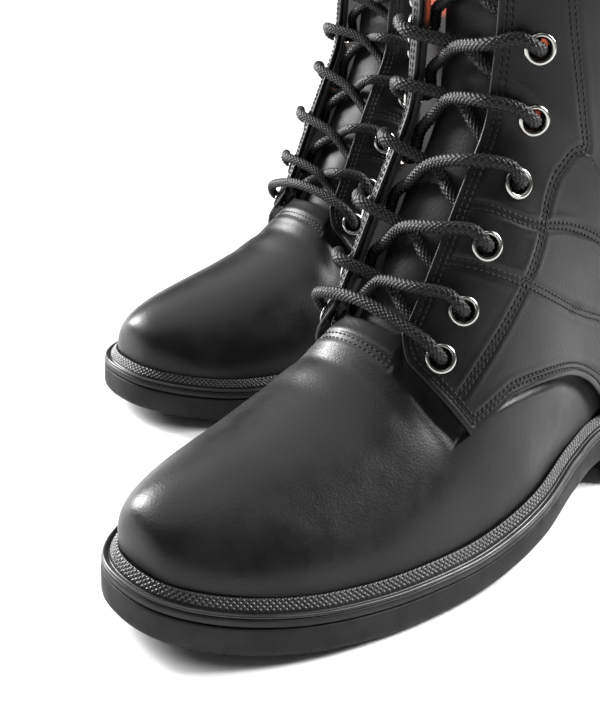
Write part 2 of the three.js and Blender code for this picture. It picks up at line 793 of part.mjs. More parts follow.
// The origin is on the floor under the middle of the pair
const box = new THREE.Box3().setFromObject(group);
const centre = box.getCenter(new THREE.Vector3());
group.children.forEach((mesh) => mesh.geometry.translate(-centre.x, -centre.y, -box.min.z));
group.children.forEach((mesh) => mesh.geometry.computeVertexNormals());

export default group;
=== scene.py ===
"""Looks of a pair of black lace-up work boots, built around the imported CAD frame.

Shapes are drawn in millimetres in each boot's own frame: x across (lateral side +), a forward
from the back of the heel, z up from the floor. place() takes them to metres in the frame of the
pair. The surface of the upper is drawn with the same formulas as the CAD, only finer.
"""
import json
import math

import bmesh
import bpy
import numpy as np
from mathutils import Matrix, Vector
from mathutils.kdtree import KDTree


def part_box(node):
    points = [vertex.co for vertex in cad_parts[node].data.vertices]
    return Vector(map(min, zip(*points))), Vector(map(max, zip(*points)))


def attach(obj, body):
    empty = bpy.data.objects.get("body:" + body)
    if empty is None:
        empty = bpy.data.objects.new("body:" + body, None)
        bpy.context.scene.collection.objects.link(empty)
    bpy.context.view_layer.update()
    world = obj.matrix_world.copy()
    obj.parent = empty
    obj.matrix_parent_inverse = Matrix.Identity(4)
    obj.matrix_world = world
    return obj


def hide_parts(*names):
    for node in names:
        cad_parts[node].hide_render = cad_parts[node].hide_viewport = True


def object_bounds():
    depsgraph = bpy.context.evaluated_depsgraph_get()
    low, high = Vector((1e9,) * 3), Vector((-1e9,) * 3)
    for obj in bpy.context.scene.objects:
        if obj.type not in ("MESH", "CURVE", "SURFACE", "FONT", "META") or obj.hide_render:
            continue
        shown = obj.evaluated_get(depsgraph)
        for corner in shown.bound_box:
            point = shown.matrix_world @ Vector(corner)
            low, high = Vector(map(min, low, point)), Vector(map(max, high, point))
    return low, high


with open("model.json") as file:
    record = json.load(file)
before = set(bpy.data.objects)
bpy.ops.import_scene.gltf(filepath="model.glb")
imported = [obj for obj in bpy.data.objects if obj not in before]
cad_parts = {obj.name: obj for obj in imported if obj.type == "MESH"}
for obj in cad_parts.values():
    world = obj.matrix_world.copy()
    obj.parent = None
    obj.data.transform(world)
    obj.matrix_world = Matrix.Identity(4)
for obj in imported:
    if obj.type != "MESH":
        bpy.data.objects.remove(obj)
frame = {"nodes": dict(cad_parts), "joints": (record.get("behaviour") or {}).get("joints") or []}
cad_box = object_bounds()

# ------------------------------------------------------------ sizes shared with the CAD (mm)
SOLE_LENGTH = 300
HEEL_LIFT = 14
TOE_SPRING = 8
LUG_DEPTH = 3.5
OUTSOLE_TOP = 9.7
MIDSOLE_BOTTOM = 10
MIDSOLE_TOP = 15.7
SEAT_LEVEL = 16.7
FOOTBED = (20.6, 24.6)
GAP = 0.3
SKIN_GAP = 0.8
LEATHER = 1.6
LINING = 1.5
TONGUE = 3
LACE_DIAMETER = 4.8
FACING_HALF_GAP = 17
EYELET_OFFSET = 27.5
EYELET_ROWS = 7
EYELET_OUTER = 5.6
EYELET_HOLE = 3.5
EYELET_CUT = 4.5  # radius of the cut in the leather
FIRST_ROW_STEP = 18.5
ROW_STEP = 23.8
UPPER_INSET = 7
TONGUE_HINGE = (-5.83, 195.01)  # across and forward, where each tongue hinges

QUARTER_LAYER = (SKIN_GAP, SKIN_GAP + LEATHER)
VAMP_LAYER = (-LEATHER, 0)
STIFFENER_LAYER = (VAMP_LAYER[0] - SKIN_GAP - 1.4, VAMP_LAYER[0] - SKIN_GAP)
DEEP_LINING_TOP = STIFFENER_LAYER[0] - SKIN_GAP
VAMP_TUCK = 2.4
LACE_DEPTH = LINING + GAP + SKIN_GAP + LACE_DIAMETER / 2
TONGUE_TOP = LACE_DEPTH + LACE_DIAMETER / 2 + SKIN_GAP
LACE_RADIUS = LACE_DIAMETER / 2
FLANGE_TOP = QUARTER_LAYER[1] + GAP + 0.9

SIDES = ("left", "right")
FLANKS = (("lateral", 1), ("medial", -1))
hinges = {side: next(j for j in frame["joints"] if j["name"] == f"{side}_tongue_fold")
          for side in SIDES}


# ------------------------------------------------------------ camera
def make_camera():
    """The camera stands in front of the left boot's lateral side and looks down at the pair."""
    azimuth = math.radians(48)
    elevation = math.radians(22.5)
    roll = math.radians(2.8)
    lens_over_sensor = 1134.1 / 720
    sole_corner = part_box("outsole_left")[0]
    from_corner = Vector((0.3152, -0.1670, 0.2330))
    back = Vector((math.sin(azimuth) * math.cos(elevation),
                   -math.cos(azimuth) * math.cos(elevation), math.sin(elevation)))
    level = Vector((math.cos(azimuth), math.sin(azimuth), 0))
    upright = back.cross(level)
    right = level * math.cos(roll) + upright * math.sin(roll)
    up = upright * math.cos(roll) - level * math.sin(roll)
    data = bpy.data.cameras.new("camera")
    data.sensor_width = 36
    data.lens = data.sensor_width * lens_over_sensor
    data.clip_start = 0.01
    camera = bpy.data.objects.new("camera", data)
    turn = Matrix((right, up, back)).transposed().to_4x4()
    camera.matrix_world = Matrix.Translation(sole_corner + from_corner) @ turn
    bpy.context.scene.collection.objects.link(camera)
    bpy.context.scene.camera = camera


make_camera()


# ------------------------------------------------------------ numbers and curves
def smoothstep(value, low, high):
    share = np.clip((value - low) / (high - low), 0, 1)
    return share * share * (3 - 2 * share)


def lerp(a, b, share):
    return a + (b - a) * share


def unit(vectors):
    return vectors / np.maximum(np.linalg.norm(vectors, axis=-1, keepdims=True), 1e-12)


def hermite(t, start, end, start_slope, end_slope):
    """Cubic that runs from start to end as t goes from 0 to 1."""
    return ((2 * t**3 - 3 * t**2 + 1) * start + (t**3 - 2 * t**2 + t) * start_slope
            + (3 * t**2 - 2 * t**3) * end + (t**3 - t**2) * end_slope)


def smooth_look_up(pairs, value):
    """Smooth curve through a list of (input, output) pairs."""
    x, y = np.array(pairs, float).T
    slope = np.gradient(y, x)
    index = np.clip(np.searchsorted(x, value) - 1, 0, len(x) - 2)
    step = x[index + 1] - x[index]
    t = np.clip((value - x[index]) / step, 0, 1)
    return hermite(t, y[index], y[index + 1], step * slope[index], step * slope[index + 1])


def catmull_rom(knots, shares, closed):
    """Centripetal Catmull-Rom curve through the knots, at shares from 0 to 1."""
    knots = np.asarray(knots, float)
    count = len(knots)
    if closed:
        padded = np.vstack([knots[-1:], knots, knots[:2]])
        spans = count
    else:
        before = 2 * knots[:1] - knots[1:2]
        after = 2 * knots[-1:] - knots[-2:-1]
        padded = np.vstack([before, knots, after])
        spans = count - 1
    place = np.clip(shares, 0, 1) * spans
    first = np.minimum(place.astype(int), spans - 1)
    t = (place - first)[:, None]
    p0, p1, p2, p3 = (padded[first + k] for k in range(4))
    d0, d1, d2 = (np.sqrt(np.linalg.norm(b - a, axis=1, keepdims=True))
                  for a, b in ((p0, p1), (p1, p2), (p2, p3)))
    start = ((p1 - p0) / d0 - (p2 - p0) / (d0 + d1) + (p2 - p1) / d1) * d1
    end = ((p2 - p1) / d1 - (p3 - p1) / (d1 + d2) + (p3 - p2) / d2) * d1
    return hermite(t, p1, p2, start, end)


def evenly(points, step):
    """The line through the points, stepped evenly by about the given length."""
    lengths = np.r_[0, np.cumsum(np.linalg.norm(np.diff(points, axis=0), axis=1))]
    count = max(2, round(lengths[-1] / step) + 1)
    stops = np.linspace(0, lengths[-1], count)
    return np.stack([np.interp(stops, lengths, points[:, k]) for k in range(points.shape[1])], 1)


# ------------------------------------------------------------ plan of the sole
SOLE_PLAN = np.array([
    [0, 0], [0.067, 0.02], [0.11, 0.083], [0.119, 0.167], [0.107, 0.267], [0.128, 0.36],
    [0.162, 0.467], [0.177, 0.567], [0.18, 0.667], [0.169, 0.773], [0.142, 0.872], [0.096, 0.95],
    [0.045, 0.99], [-0.007, 1], [-0.059, 0.99], [-0.108, 0.95], [-0.153, 0.872], [-0.167, 0.76],
    [-0.157, 0.65], [-0.117, 0.517], [-0.097, 0.383], [-0.107, 0.267], [-0.12, 0.167],
    [-0.11, 0.083], [-0.067, 0.02],
]) * SOLE_LENGTH
BALL_START = 0.633 * SOLE_LENGTH
HEEL_FRONT = 0.24 * SOLE_LENGTH
SPRING_START = 0.717 * SOLE_LENGTH


def inset_plan(inset, count):
    """The plan moved inward, as points in order round the sole."""
    shares = np.arange(count) / count
    nudge = 1e-4
    points = catmull_rom(SOLE_PLAN, shares, True)
    ahead = catmull_rom(SOLE_PLAN, (shares + nudge) % 1, True)
    behind = catmull_rom(SOLE_PLAN, (shares - nudge) % 1, True)
    tangent = unit(ahead - behind)
    inward = np.stack([-tangent[:, 1], tangent[:, 0]], 1)
    return points + inset * inward


def plan_edges(inset):
    """Lateral and medial edges of the inset plan, each as rising (forward, across) rows."""
    points = inset_plan(inset, 240)
    toe = int(np.argmax(points[:, 1]))
    medial = np.vstack([points[:1], points[toe:][::-1]])
    edges = []
    for line in (points[:toe + 1], medial):
        highest = np.r_[-np.inf, np.maximum.accumulate(line[:, 1])[:-1]]
        kept = line[line[:, 1] > highest]
        edges.append((kept[:, 1], kept[:, 0]))
    return edges


def sole_curve(forward):
    lift = HEEL_LIFT * (1 - smoothstep(forward, HEEL_FRONT - 2, BALL_START))
    spring = np.maximum(0, (forward - SPRING_START) / (SOLE_LENGTH - SPRING_START))
    return lift + TOE_SPRING * spring**2


# ------------------------------------------------------------ the lasted surface
# Each section: front forward, front height, base forward, base lift, front half width,
# back half width, middle of the front, squareness
SECTIONS = np.array([
    [293, 31, 293, 1, 44, 44, -2, 0],
    [292.8, 45.5, 289, 0, 44, 44, -4, 0],
    [276, 52.5, 277, 0, 44, 44, -4, -0.03],
    [258, 57, 257, 0, 44, 44, -4, -0.05],
    [234, 63, 231, 0, 44, 44, -5, -0.03],
    [212, 70.5, 198, 0, 44, 44, -6, 0.02],
    [195, 84, 165, 0, 44, 42, -6, 0.04],
    [181, 118, 125, 0, 41, 36, -4, 0.08],
    [168, 145, 82, 0, 40, 32, -3, 0.12],
    [161, 164, 42, 0, 40, 32, -3, 0.12],
    [160.5, 174, 16, 0, 40, 32, -3, 0.12],
    [160, 182, 6, 2, 40, 32, -3, 0.12],
    [160, 190, 4, 30, 40, 33, -3, 0.12],
    [160, 200, 8, 62, 40, 35, -3, 0.12],
    [161, 212, 17, 100, 41, 37, -3, 0.12],
    [162, 224, 24, 142, 42, 39, -3, 0.12],
    [163, 236, 30, 185, 43, 41, -3, 0.12],
])
COLLAR = len(SECTIONS) - 1
FULL_FOOT = 5
FULL_SHAFT = 8
LATERAL, MEDIAL = plan_edges(UPPER_INSET)


def section_at(u):
    """Smooth (cubic B-spline) values of every column at fractional section numbers."""
    before = 2 * SECTIONS[:1] - SECTIONS[1:2]
    after = 2 * SECTIONS[-1:] - SECTIONS[-2:-1]
    padded = np.vstack([before, SECTIONS, after])
    first = np.clip(np.floor(u).astype(int), 0, COLLAR - 1)
    t = (u - first)[..., None]
    weights = ((1 - t)**3, 3 * t**3 - 6 * t**2 + 4, -3 * t**3 + 3 * t**2 + 3 * t + 1, t**3)
    return sum(weight * padded[first + k] for k, weight in enumerate(weights)) / 6


def last_point(u, phi):
    """Points of the surface: phi runs from -1 (medial base) over 0 (front) to 1 (lateral)."""
    u, phi = np.broadcast_arrays(np.asarray(u, float), np.asarray(phi, float))
    columns = np.moveaxis(section_at(u), -1, 0)
    front_on, front_height, base_on, base_lift, front_width, back_width, middle, square = columns
    lateral = np.interp(base_on, *LATERAL)
    medial = np.interp(base_on, *MEDIAL)
    closing = smoothstep(base_lift, 4, 24)
    sole_half = (lateral - medial) / 2
    over_sole = 1.03 * sole_half
    own = smoothstep(u, FULL_FOOT, FULL_SHAFT)
    front = lerp(over_sole, front_width, own)
    back = np.maximum(lerp(over_sole, back_width, own), 1e-6)
    end = np.pi - np.arcsin(np.clip(sole_half * (1 - closing) / back, 0, 1))
    share = np.abs(phi)
    angle = share * end
    corner = np.where(angle < np.pi / 2, square * np.sin(2 * angle)**2, 0)
    half_width = lerp(front, back, smoothstep(share, 0, 1)) * (1 + corner) * np.sin(angle)
    rise = ((1 + corner) * np.cos(angle) - np.cos(end)) / (1 - np.cos(end))
    base_middle = lerp((lateral + medial) / 2, middle / 2, closing)
    base_height = sole_curve(base_on) + SEAT_LEVEL + base_lift
    return np.stack([lerp(base_middle, middle, rise) + np.sign(phi) * half_width,
                     lerp(base_on, front_on, rise), lerp(base_height, front_height, rise)], -1)


def last_normal(u, phi):
    u, phi = np.broadcast_arrays(np.asarray(u, float), np.asarray(phi, float))
    step = 0.01
    near_tip = np.maximum(u, 2 * step)
    along = last_point(np.minimum(near_tip + step, COLLAR), phi) - last_point(near_tip - step, phi)
    side = np.clip(phi, step - 1, 1 - step)
    around = last_point(near_tip, side + step) - last_point(near_tip, side - step)
    normal = np.cross(along, around)
    on_middle = (u == 0) | ((np.abs(phi) == 1) & (section_at(u)[..., 3] > 4))
    normal[..., 0] = np.where(on_middle, 0, normal[..., 0])
    return unit(normal)


def upper_point(u, phi, offset):
    offset = np.asarray(offset, float)
    return last_point(u, phi) + last_normal(u, phi) * offset[..., None]


def phi_at_width(u, half_width):
    """Place round a section where the surface is a given distance from its middle."""
    low = np.zeros(np.broadcast(u, half_width).shape)
    high = low + 0.7
    for _ in range(20):
        guess = (low + high) / 2
        width = (last_point(u, guess)[..., 0] - last_point(u, -guess)[..., 0]) / 2
        low = np.where(width < half_width, guess, low)
        high = np.where(width < half_width, high, guess)
    return (low + high) / 2


def phi_behind_facing(u, share):
    edge = phi_at_width(u, FACING_HALF_GAP)
    return edge + (1 - edge) * share


# ------------------------------------------------------------ lines drawn on the upper
THROAT = 6.13
COLLAR_EDGE = COLLAR - 0.6
LINING_THROAT = 5.65
LINING_RISE = THROAT + 0.06
LINING_STEP = 0.12
COUNTER_TOP = 13
DEEP_SHARE = 0.45
BACK_END = 0.998  # phi where the quarters stop, just short of the back
TONGUE_FOOT = LINING_THROAT + 0.15
TAB_START = 0.49
TAB_END = 0.52
TAB_FOOT = [(0, 6.02), (0.25, 6.02), (TAB_START, 6.08)]
ARC_FOOT = [(TAB_END, 6.8), (0.58, 7.22), (0.66, 7.7), (0.74, 7.98), (0.86, 8.17), (1, 8.3)]


def quarter_edge(share):
    """Lower edge of the quarter: across the tab, round its corner and along the arc."""
    tab = np.interp(share, *np.array(TAB_FOOT).T)
    turn = lerp(TAB_FOOT[-1][1], ARC_FOOT[0][1], (share - TAB_START) / (TAB_END - TAB_START))
    arc = smooth_look_up(ARC_FOOT, share)
    edge = np.where(share < TAB_START, tab, np.where(share < TAB_END, turn, arc))
    rounded_corner = 0.22 * np.clip(1 - share / 0.12, 0, 1)**2
    return edge + rounded_corner


def vamp_edge(share):
    return quarter_edge(share) + lerp(THROAT - TAB_FOOT[0][1], 0.35, smoothstep(share, 0.3, 0.52))


def share_at(u, phi):
    edge = phi_at_width(np.maximum(u, THROAT), FACING_HALF_GAP)
    return (np.abs(phi) - edge) / (1 - edge)


def on_facing(u, across, offset):
    """Points a given distance across the front of the boot from its middle line."""
    u = np.asarray(u, float)
    across = np.asarray(across, float)
    return upper_point(u, np.sign(across) * phi_at_width(u, np.abs(across)), offset)


def find_eyelet_sections():
    """Section numbers of the eyelet rows, stepping up the eyelet line."""
    walk = np.arange(THROAT + 0.2, COLLAR, 0.02)
    line = on_facing(walk, EYELET_OFFSET, 0)
    travelled = np.r_[0, np.cumsum(np.linalg.norm(np.diff(line, axis=0), axis=1))]
    steps = [0] + [FIRST_ROW_STEP + ROW_STEP * row for row in range(EYELET_ROWS - 1)]
    return np.interp(steps, travelled, walk)


EYELET_SECTIONS = find_eyelet_sections()


def eyelet_seat(u, sign):
    """Middle of an eyelet on the lasted surface, and the way it faces."""
    phi = sign * phi_at_width(u, EYELET_OFFSET)
    return last_point(u, phi), last_normal(u, phi)


# ------------------------------------------------------------ meshes
def place(points, side):
    """Points of a boot's own frame as metres in the frame of the pair."""
    position, axis = hinges[side]["pos_m"], hinges[side]["axis"]
    turn = 1 if side == "left" else -1
    across = turn * np.array([axis[0], axis[1], 0])
    forward = np.array([axis[1], -axis[0], 0])
    foot = np.array([position[0], position[1], 0])
    metres = np.asarray(points, float) / 1000
    hinge_across, hinge_forward = TONGUE_HINGE
    return (foot + (metres[..., 0:1] - hinge_across / 1000) * across
            + (metres[..., 1:2] - hinge_forward / 1000) * forward
            + metres[..., 2:3] * np.array([0, 0, 1]))


def outward(points, faces):
    """The quads turned so that the closed body they make faces outward."""
    a, b, c, d = (points[faces[:, k]] for k in range(4))
    volume = np.sum(a * np.cross(b, c)) + np.sum(a * np.cross(c, d))
    return faces if volume > 0 else faces[:, ::-1]


def add_piece(name, points, faces, side, body, material, cad_nodes=(), weld=0.0):
    """A smooth mesh of quads in one boot, riding on its body."""
    placed = place(points, side)
    faces = outward(placed, np.asarray(faces))
    mesh = bpy.data.meshes.new(f"{name}_{side}")
    mesh.vertices.add(len(placed))
    mesh.vertices.foreach_set("co", placed.astype(np.float32).ravel())
    mesh.loops.add(faces.size)
    mesh.loops.foreach_set("vertex_index", faces.astype(np.int32).ravel())
    mesh.polygons.add(len(faces))
    mesh.polygons.foreach_set("loop_start", np.arange(0, faces.size, 4, dtype=np.int32))
    mesh.update(calc_edges=True)
    mesh.validate()
    if weld:
        work = bmesh.new()
        work.from_mesh(mesh)
        bmesh.ops.remove_doubles(work, verts=work.verts, dist=weld)
        work.to_mesh(mesh)
        work.free()
    mesh.shade_smooth()
    mesh.materials.append(material)
    piece = bpy.data.objects.new(f"{name}_{side}_fine", mesh)
    bpy.context.scene.collection.objects.link(piece)
    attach(piece, f"{side}_{body}")
    if cad_nodes:
        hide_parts(*[f"{node}_{side}" for node in cad_nodes])
    return piece


def grid_quads(rows, columns, closed_rows=False, closed_columns=False):
    ids = np.arange(rows * columns).reshape(rows, columns)
    if closed_rows:
        ids = np.vstack([ids, ids[:1]])
    if closed_columns:
        ids = np.hstack([ids, ids[:, :1]])
    return np.stack([ids[:-1, :-1], ids[:-1, 1:], ids[1:, 1:], ids[1:, :-1]], -1).reshape(-1, 4)


def open_edges(quads, total):
    """Directed edges of the sheet that have no face on their other side."""
    edges = np.vstack([quads[:, [k, (k + 1) % 4]] for k in range(4)])
    forward = edges[:, 0] * total + edges[:, 1]
    backward = edges[:, 1] * total + edges[:, 0]
    return edges[~np.isin(forward, backward)]


RIM_PROFILE = ((0.12, 0.28), (0.5, 0.42), (0.88, 0.28))  # share of the thickness, bulge


def leather_shell(outer, inner, keep=None):
    """A panel with rounded edges between two grids of points."""
    rows, columns = outer.shape[:2]
    total = rows * columns
    quads = grid_quads(rows, columns)
    if keep is not None:
        quads = quads[keep.ravel()]
    flat_outer = outer.reshape(-1, 3)
    flat_inner = inner.reshape(-1, 3)
    around = np.zeros((total, 3))
    seen = np.zeros((total, 1))
    for k in range(4):
        for other in range(1, 4):
            np.add.at(around, quads[:, k], flat_outer[quads[:, (k + other) % 4]])
            np.add.at(seen, quads[:, k], 1)
    edges = open_edges(quads, total)
    rim = np.unique(edges)
    thickness = flat_outer[rim] - flat_inner[rim]
    outwards = flat_outer[rim] - around[rim] / seen[rim]
    through = unit(thickness)
    outwards -= np.sum(outwards * through, 1, keepdims=True) * through
    bulge = unit(outwards) * np.linalg.norm(thickness, axis=1, keepdims=True)
    rings = [flat_outer[rim] - thickness * share + bulge * size for share, size in RIM_PROFILE]
    points = np.vstack([flat_outer, flat_inner, *rings])
    order = np.zeros(total, int)
    order[rim] = np.arange(len(rim))
    starts = [np.arange(total)] + [2 * total + k * len(rim) + order for k in range(len(rings))]
    starts.append(np.arange(total) + total)
    walls = [np.stack([low[edges[:, 1]], low[edges[:, 0]], high[edges[:, 0]], high[edges[:, 1]]], 1)
             for low, high in zip(starts, starts[1:])]
    faces = np.vstack([quads, quads[:, ::-1] + total, *walls])
    used = np.unique(faces)
    renumber = np.zeros(len(points), int)
    renumber[used] = np.arange(len(used))
    return points[used], renumber[faces]


def cap_quads(count):
    """Quads that close a ring of points, from one half straight across to the other."""
    near = np.arange(count // 2)
    return np.stack([near, near + 1, (count - near - 1) % count, (count - near) % count], 1)


def sole_rings(profile, count):
    """The sole's outline once for each (inset, height) of the profile, bent as the sole is."""
    rings = []
    for inset, height in profile:
        plan = inset_plan(inset, count)
        rings.append(np.column_stack([plan, sole_curve(plan[:, 1]) + height]))
    return np.stack(rings, 0)


def plate_body(profile, count):
    """A solid slab of the sole's outline; the profile runs from its top round to its bottom."""
    walls = grid_quads(len(profile), count, False, True)
    cap = cap_quads(count)
    last = (len(profile) - 1) * count
    return sole_rings(profile, count).reshape(-1, 3), np.vstack([walls, cap, cap[:, ::-1] + last])


# ------------------------------------------------------------ materials
def add_node(tree, kind, **inputs):
    node = tree.nodes.new(kind)
    for name, value in inputs.items():
        socket = node.inputs[name.replace("_", " ")]
        if isinstance(value, bpy.types.NodeSocket):
            tree.links.new(value, socket)
        else:
            socket.default_value = value
    return node


def new_material(name, color, roughness, metallic=0.0, sheen=0.0, specular=0.22):
    material = bpy.data.materials.new(name)
    material.use_nodes = True
    material.diffuse_color = (*color, 1)
    shader = material.node_tree.nodes["Principled BSDF"]
    shader.inputs["Base Color"].default_value = (*color, 1)
    shader.inputs["Roughness"].default_value = roughness
    shader.inputs["Metallic"].default_value = metallic
    shader.inputs["Sheen Weight"].default_value = sheen
    shader.inputs["Specular IOR Level"].default_value = specular
    return material, material.node_tree, shader


def object_place(tree):
    return tree.nodes.new("ShaderNodeTexCoord").outputs["Object"]


def noise(tree, scale, detail=3.0, roughness=0.5):
    node = add_node(tree, "ShaderNodeTexNoise", Vector=object_place(tree), Scale=scale,
                    Detail=detail, Roughness=roughness)
    return node.outputs["Fac"]


def cells(tree, scale, smoothness=0.6):
    node = tree.nodes.new("ShaderNodeTexVoronoi")
    node.feature = "SMOOTH_F1"
    node.inputs["Scale"].default_value = scale
    node.inputs["Smoothness"].default_value = smoothness
    tree.links.new(object_place(tree), node.inputs["Vector"])
    return node.outputs["Distance"]


def mapped(tree, value, low, high, out_low, out_high):
    node = tree.nodes.new("ShaderNodeMapRange")
    tree.links.new(value, node.inputs["Value"])
    for name, number in (("From Min", low), ("From Max", high), ("To Min", out_low),
                         ("To Max", out_high)):
        node.inputs[name].default_value = number
    return node.outputs["Result"]


def blended(tree, share, low, high):
    """Mix of two colours, each given as numbers or as the output of a node."""
    node = tree.nodes.new("ShaderNodeMix")
    node.data_type = "RGBA"
    tree.links.new(share, node.inputs["Factor"])
    for name, color in (("A", low), ("B", high)):
        if isinstance(color, bpy.types.NodeSocket):
            tree.links.new(color, node.inputs[name])
        else:
            node.inputs[name].default_value = (*color, 1)
    return node.outputs["Result"]


def mesh_values(tree, attribute):
    """Values stored on the mesh under an attribute's name."""
    node = tree.nodes.new("ShaderNodeAttribute")
    node.attribute_name = attribute
    return node.outputs["Fac"]


def bumped(tree, shader, layers):
    """Stacks bumps, each as (height, strength, distance in metres), onto the shader."""
    normal = None
    for height, strength, distance in layers:
        node = add_node(tree, "ShaderNodeBump", Height=height, Strength=strength,
                        Distance=distance)
        if normal is not None:
            tree.links.new(normal, node.inputs["Normal"])
        normal = node.outputs["Normal"]
    tree.links.new(normal, shader.inputs["Normal"])


def leather_material(name, shade, roughness, grain):
    """Dyed and polished leather: pebbled grain, fine pores and a slightly uneven polish."""
    material, tree, shader = new_material(name, shade, roughness)
    lighter = tuple(1.7 * part + 0.002 for part in shade)
    patches = mapped(tree, noise(tree, 45, 4), 0.35, 0.7, 0, 1)
    tree.links.new(blended(tree, patches, shade, lighter), shader.inputs["Base Color"])
    polish = mapped(tree, noise(tree, 90, 5, 0.6), 0.3, 0.7, roughness - 0.05, roughness + 0.07)
    tree.links.new(polish, shader.inputs["Roughness"])
    bumped(tree, shader, [(cells(tree, 1100), 0.3 * grain, 0.00016),
                          (cells(tree, 2300), 0.28 * grain, 0.0001),
                          (noise(tree, 320, 6, 0.65), 0.12 * grain, 0.0002)])
    return material


def rubber_material(name, shade, roughness, specular=0.22):
    """Moulded rubber: fine matt texture and faint scuffs."""
    material, tree, shader = new_material(name, shade, roughness, specular=specular)
    scuffs = mapped(tree, noise(tree, 60, 8, 0.7), 0.45, 0.75, 0, 1)
    lighter = tuple(2.0 * part + 0.004 for part in shade)
    tree.links.new(blended(tree, scuffs, shade, lighter), shader.inputs["Base Color"])
    dull = mapped(tree, noise(tree, 140, 4), 0.3, 0.7, roughness - 0.06, roughness + 0.1)
    tree.links.new(dull, shader.inputs["Roughness"])
    bumped(tree, shader, [(noise(tree, 1500, 3), 0.2, 0.0001)])
    return material


def cloth_material(name, shade, roughness, sheen, scale):
    """Fibres or nap of a textile."""
    material, tree, shader = new_material(name, shade, roughness, sheen=sheen)
    lighter = tuple(1.9 * part + 0.003 for part in shade)
    fibres = mapped(tree, noise(tree, scale, 6, 0.7), 0.35, 0.68, 0, 1)
    tree.links.new(blended(tree, fibres, shade, lighter), shader.inputs["Base Color"])
    bumped(tree, shader, [(noise(tree, 1.6 * scale, 5, 0.7), 0.5, 0.0002)])
    return material


def braid_material():
    """Plaited cord with painted shade: the colour is darker in the crevices between plaits and
    lighter where a plait stands out.
    """
    material, tree, shader = new_material("braided_cord", (0.01, 0.01, 0.01), 0.44, sheen=0.01,
                                          specular=0.26)
    # painted shade: dark in the crevices between plaits, lighter on their tops
    crevice_shade = mapped(tree, mesh_values(tree, "plait_height_shade"), 0.35, 0.95, 0, 1)
    tree.links.new(blended(tree, crevice_shade, (0.001, 0.001, 0.001), (0.009, 0.0088, 0.0085)),
                   shader.inputs["Base Color"])
    bumped(tree, shader, [(noise(tree, 2600, 4, 0.7), 0.5, 0.00015)])
    return material


def lining_material():
    """Red suede with painted shade: it turns black where the mesh attribute for the shade inside
    the boot is 1.
    """
    material, tree, shader = new_material("red_suede", (0.4, 0.06, 0.025), 0.9, sheen=0.3)
    fibres = mapped(tree, noise(tree, 700, 6, 0.7), 0.35, 0.68, 0, 1)
    red = blended(tree, fibres, (0.33, 0.045, 0.018), (0.52, 0.1, 0.04))
    # painted shade: black where the inside of the boot shows through the eyelet holes
    color = blended(tree, mesh_values(tree, "lining_shade_black"), red, (0.012, 0.012, 0.013))
    tree.links.new(color, shader.inputs["Base Color"])
    bumped(tree, shader, [(noise(tree, 1300, 5, 0.7), 0.5, 0.0002)])
    return material


def metal_material(name, shade, roughness, scale):
    material, tree, shader = new_material(name, shade, roughness, metallic=1.0,
                                          specular=0.5)
    tarnish = mapped(tree, noise(tree, scale, 4), 0.3, 0.7, roughness - 0.05, roughness + 0.12)
    tree.links.new(tarnish, shader.inputs["Roughness"])
    darker = tuple(0.7 * part for part in shade)
    tree.links.new(blended(tree, noise(tree, scale * 0.6, 3), darker, shade),
                   shader.inputs["Base Color"])
    bumped(tree, shader, [(noise(tree, scale * 3, 3), 0.1, 0.00005)])
    return material


LEATHER_BLACK = (0.005, 0.005, 0.0052)
RUBBER_BLACK = (0.008, 0.008, 0.0083)
materials = {
    "leather": leather_material("polished_leather", LEATHER_BLACK, 0.37, 0.9),
    "soft_leather": leather_material("tongue_leather", LEATHER_BLACK, 0.44, 1.0),
    "tread": rubber_material("tread_rubber", RUBBER_BLACK, 0.62),
    "smooth": rubber_material("smooth_rubber", RUBBER_BLACK, 0.42),
    "knurled": rubber_material("knurled_rubber", RUBBER_BLACK, 0.33, 0.45),
    "thread": cloth_material("black_thread", (0.006, 0.006, 0.006), 0.6, 0.1, 2500),
    "braid": braid_material(),
    "footbed": cloth_material("footbed_cloth", (0.02, 0.02, 0.022), 0.95, 0.2, 900),
    "lining": lining_material(),
    "nickel": metal_material("dark_nickel", (0.45, 0.44, 0.42), 0.18, 400),
    "steel": metal_material("shank_steel", (0.5, 0.5, 0.51), 0.35, 150),
    "board": cloth_material("fibre_board", (0.3, 0.2, 0.1), 0.9, 0.0, 300),
    "stiffener": cloth_material("stiffener", (0.45, 0.42, 0.34), 0.85, 0.0, 400),
}


# ------------------------------------------------------------ pieces of the sole
LIP_TOP = 12.1  # the outsole wraps round the lower half of the midsole
SKIRT_BOTTOM = 1.3  # and its edge hangs down round the lugs
SOLE_POINTS = 420


def build_outsole(side):
    profile = [(2.2, OUTSOLE_TOP), (1.5, OUTSOLE_TOP), (1.4, LIP_TOP - 0.3),
               (1.1, LIP_TOP), (0.5, LIP_TOP), (0.1, LIP_TOP - 0.4), (0, LIP_TOP - 1.0),
               (0, SKIRT_BOTTOM + 2.4), (0.25, SKIRT_BOTTOM + 1.2), (0.9, SKIRT_BOTTOM + 0.3),
               (1.9, SKIRT_BOTTOM), (2.6, SKIRT_BOTTOM + 0.3), (2.9, LUG_DEPTH)]
    points, faces = plate_body(profile, SOLE_POINTS)
    add_piece("outsole", points, faces, side, "boot", materials["tread"],
              ["outsole"])


def build_midsole(side):
    under = LIP_TOP + 0.35
    profile = [(2.4, MIDSOLE_TOP), (1.1, MIDSOLE_TOP), (0.5, MIDSOLE_TOP - 0.3),
               (0.2, MIDSOLE_TOP - 0.9), (0.2, under + 0.8), (0.45, under + 0.25),
               (0.9, under), (1.8, under), (1.9, MIDSOLE_BOTTOM)]
    points, faces = plate_body(profile, SOLE_POINTS)
    add_piece("midsole", points, faces, side, "boot", materials["smooth"],
              ["midsole"])


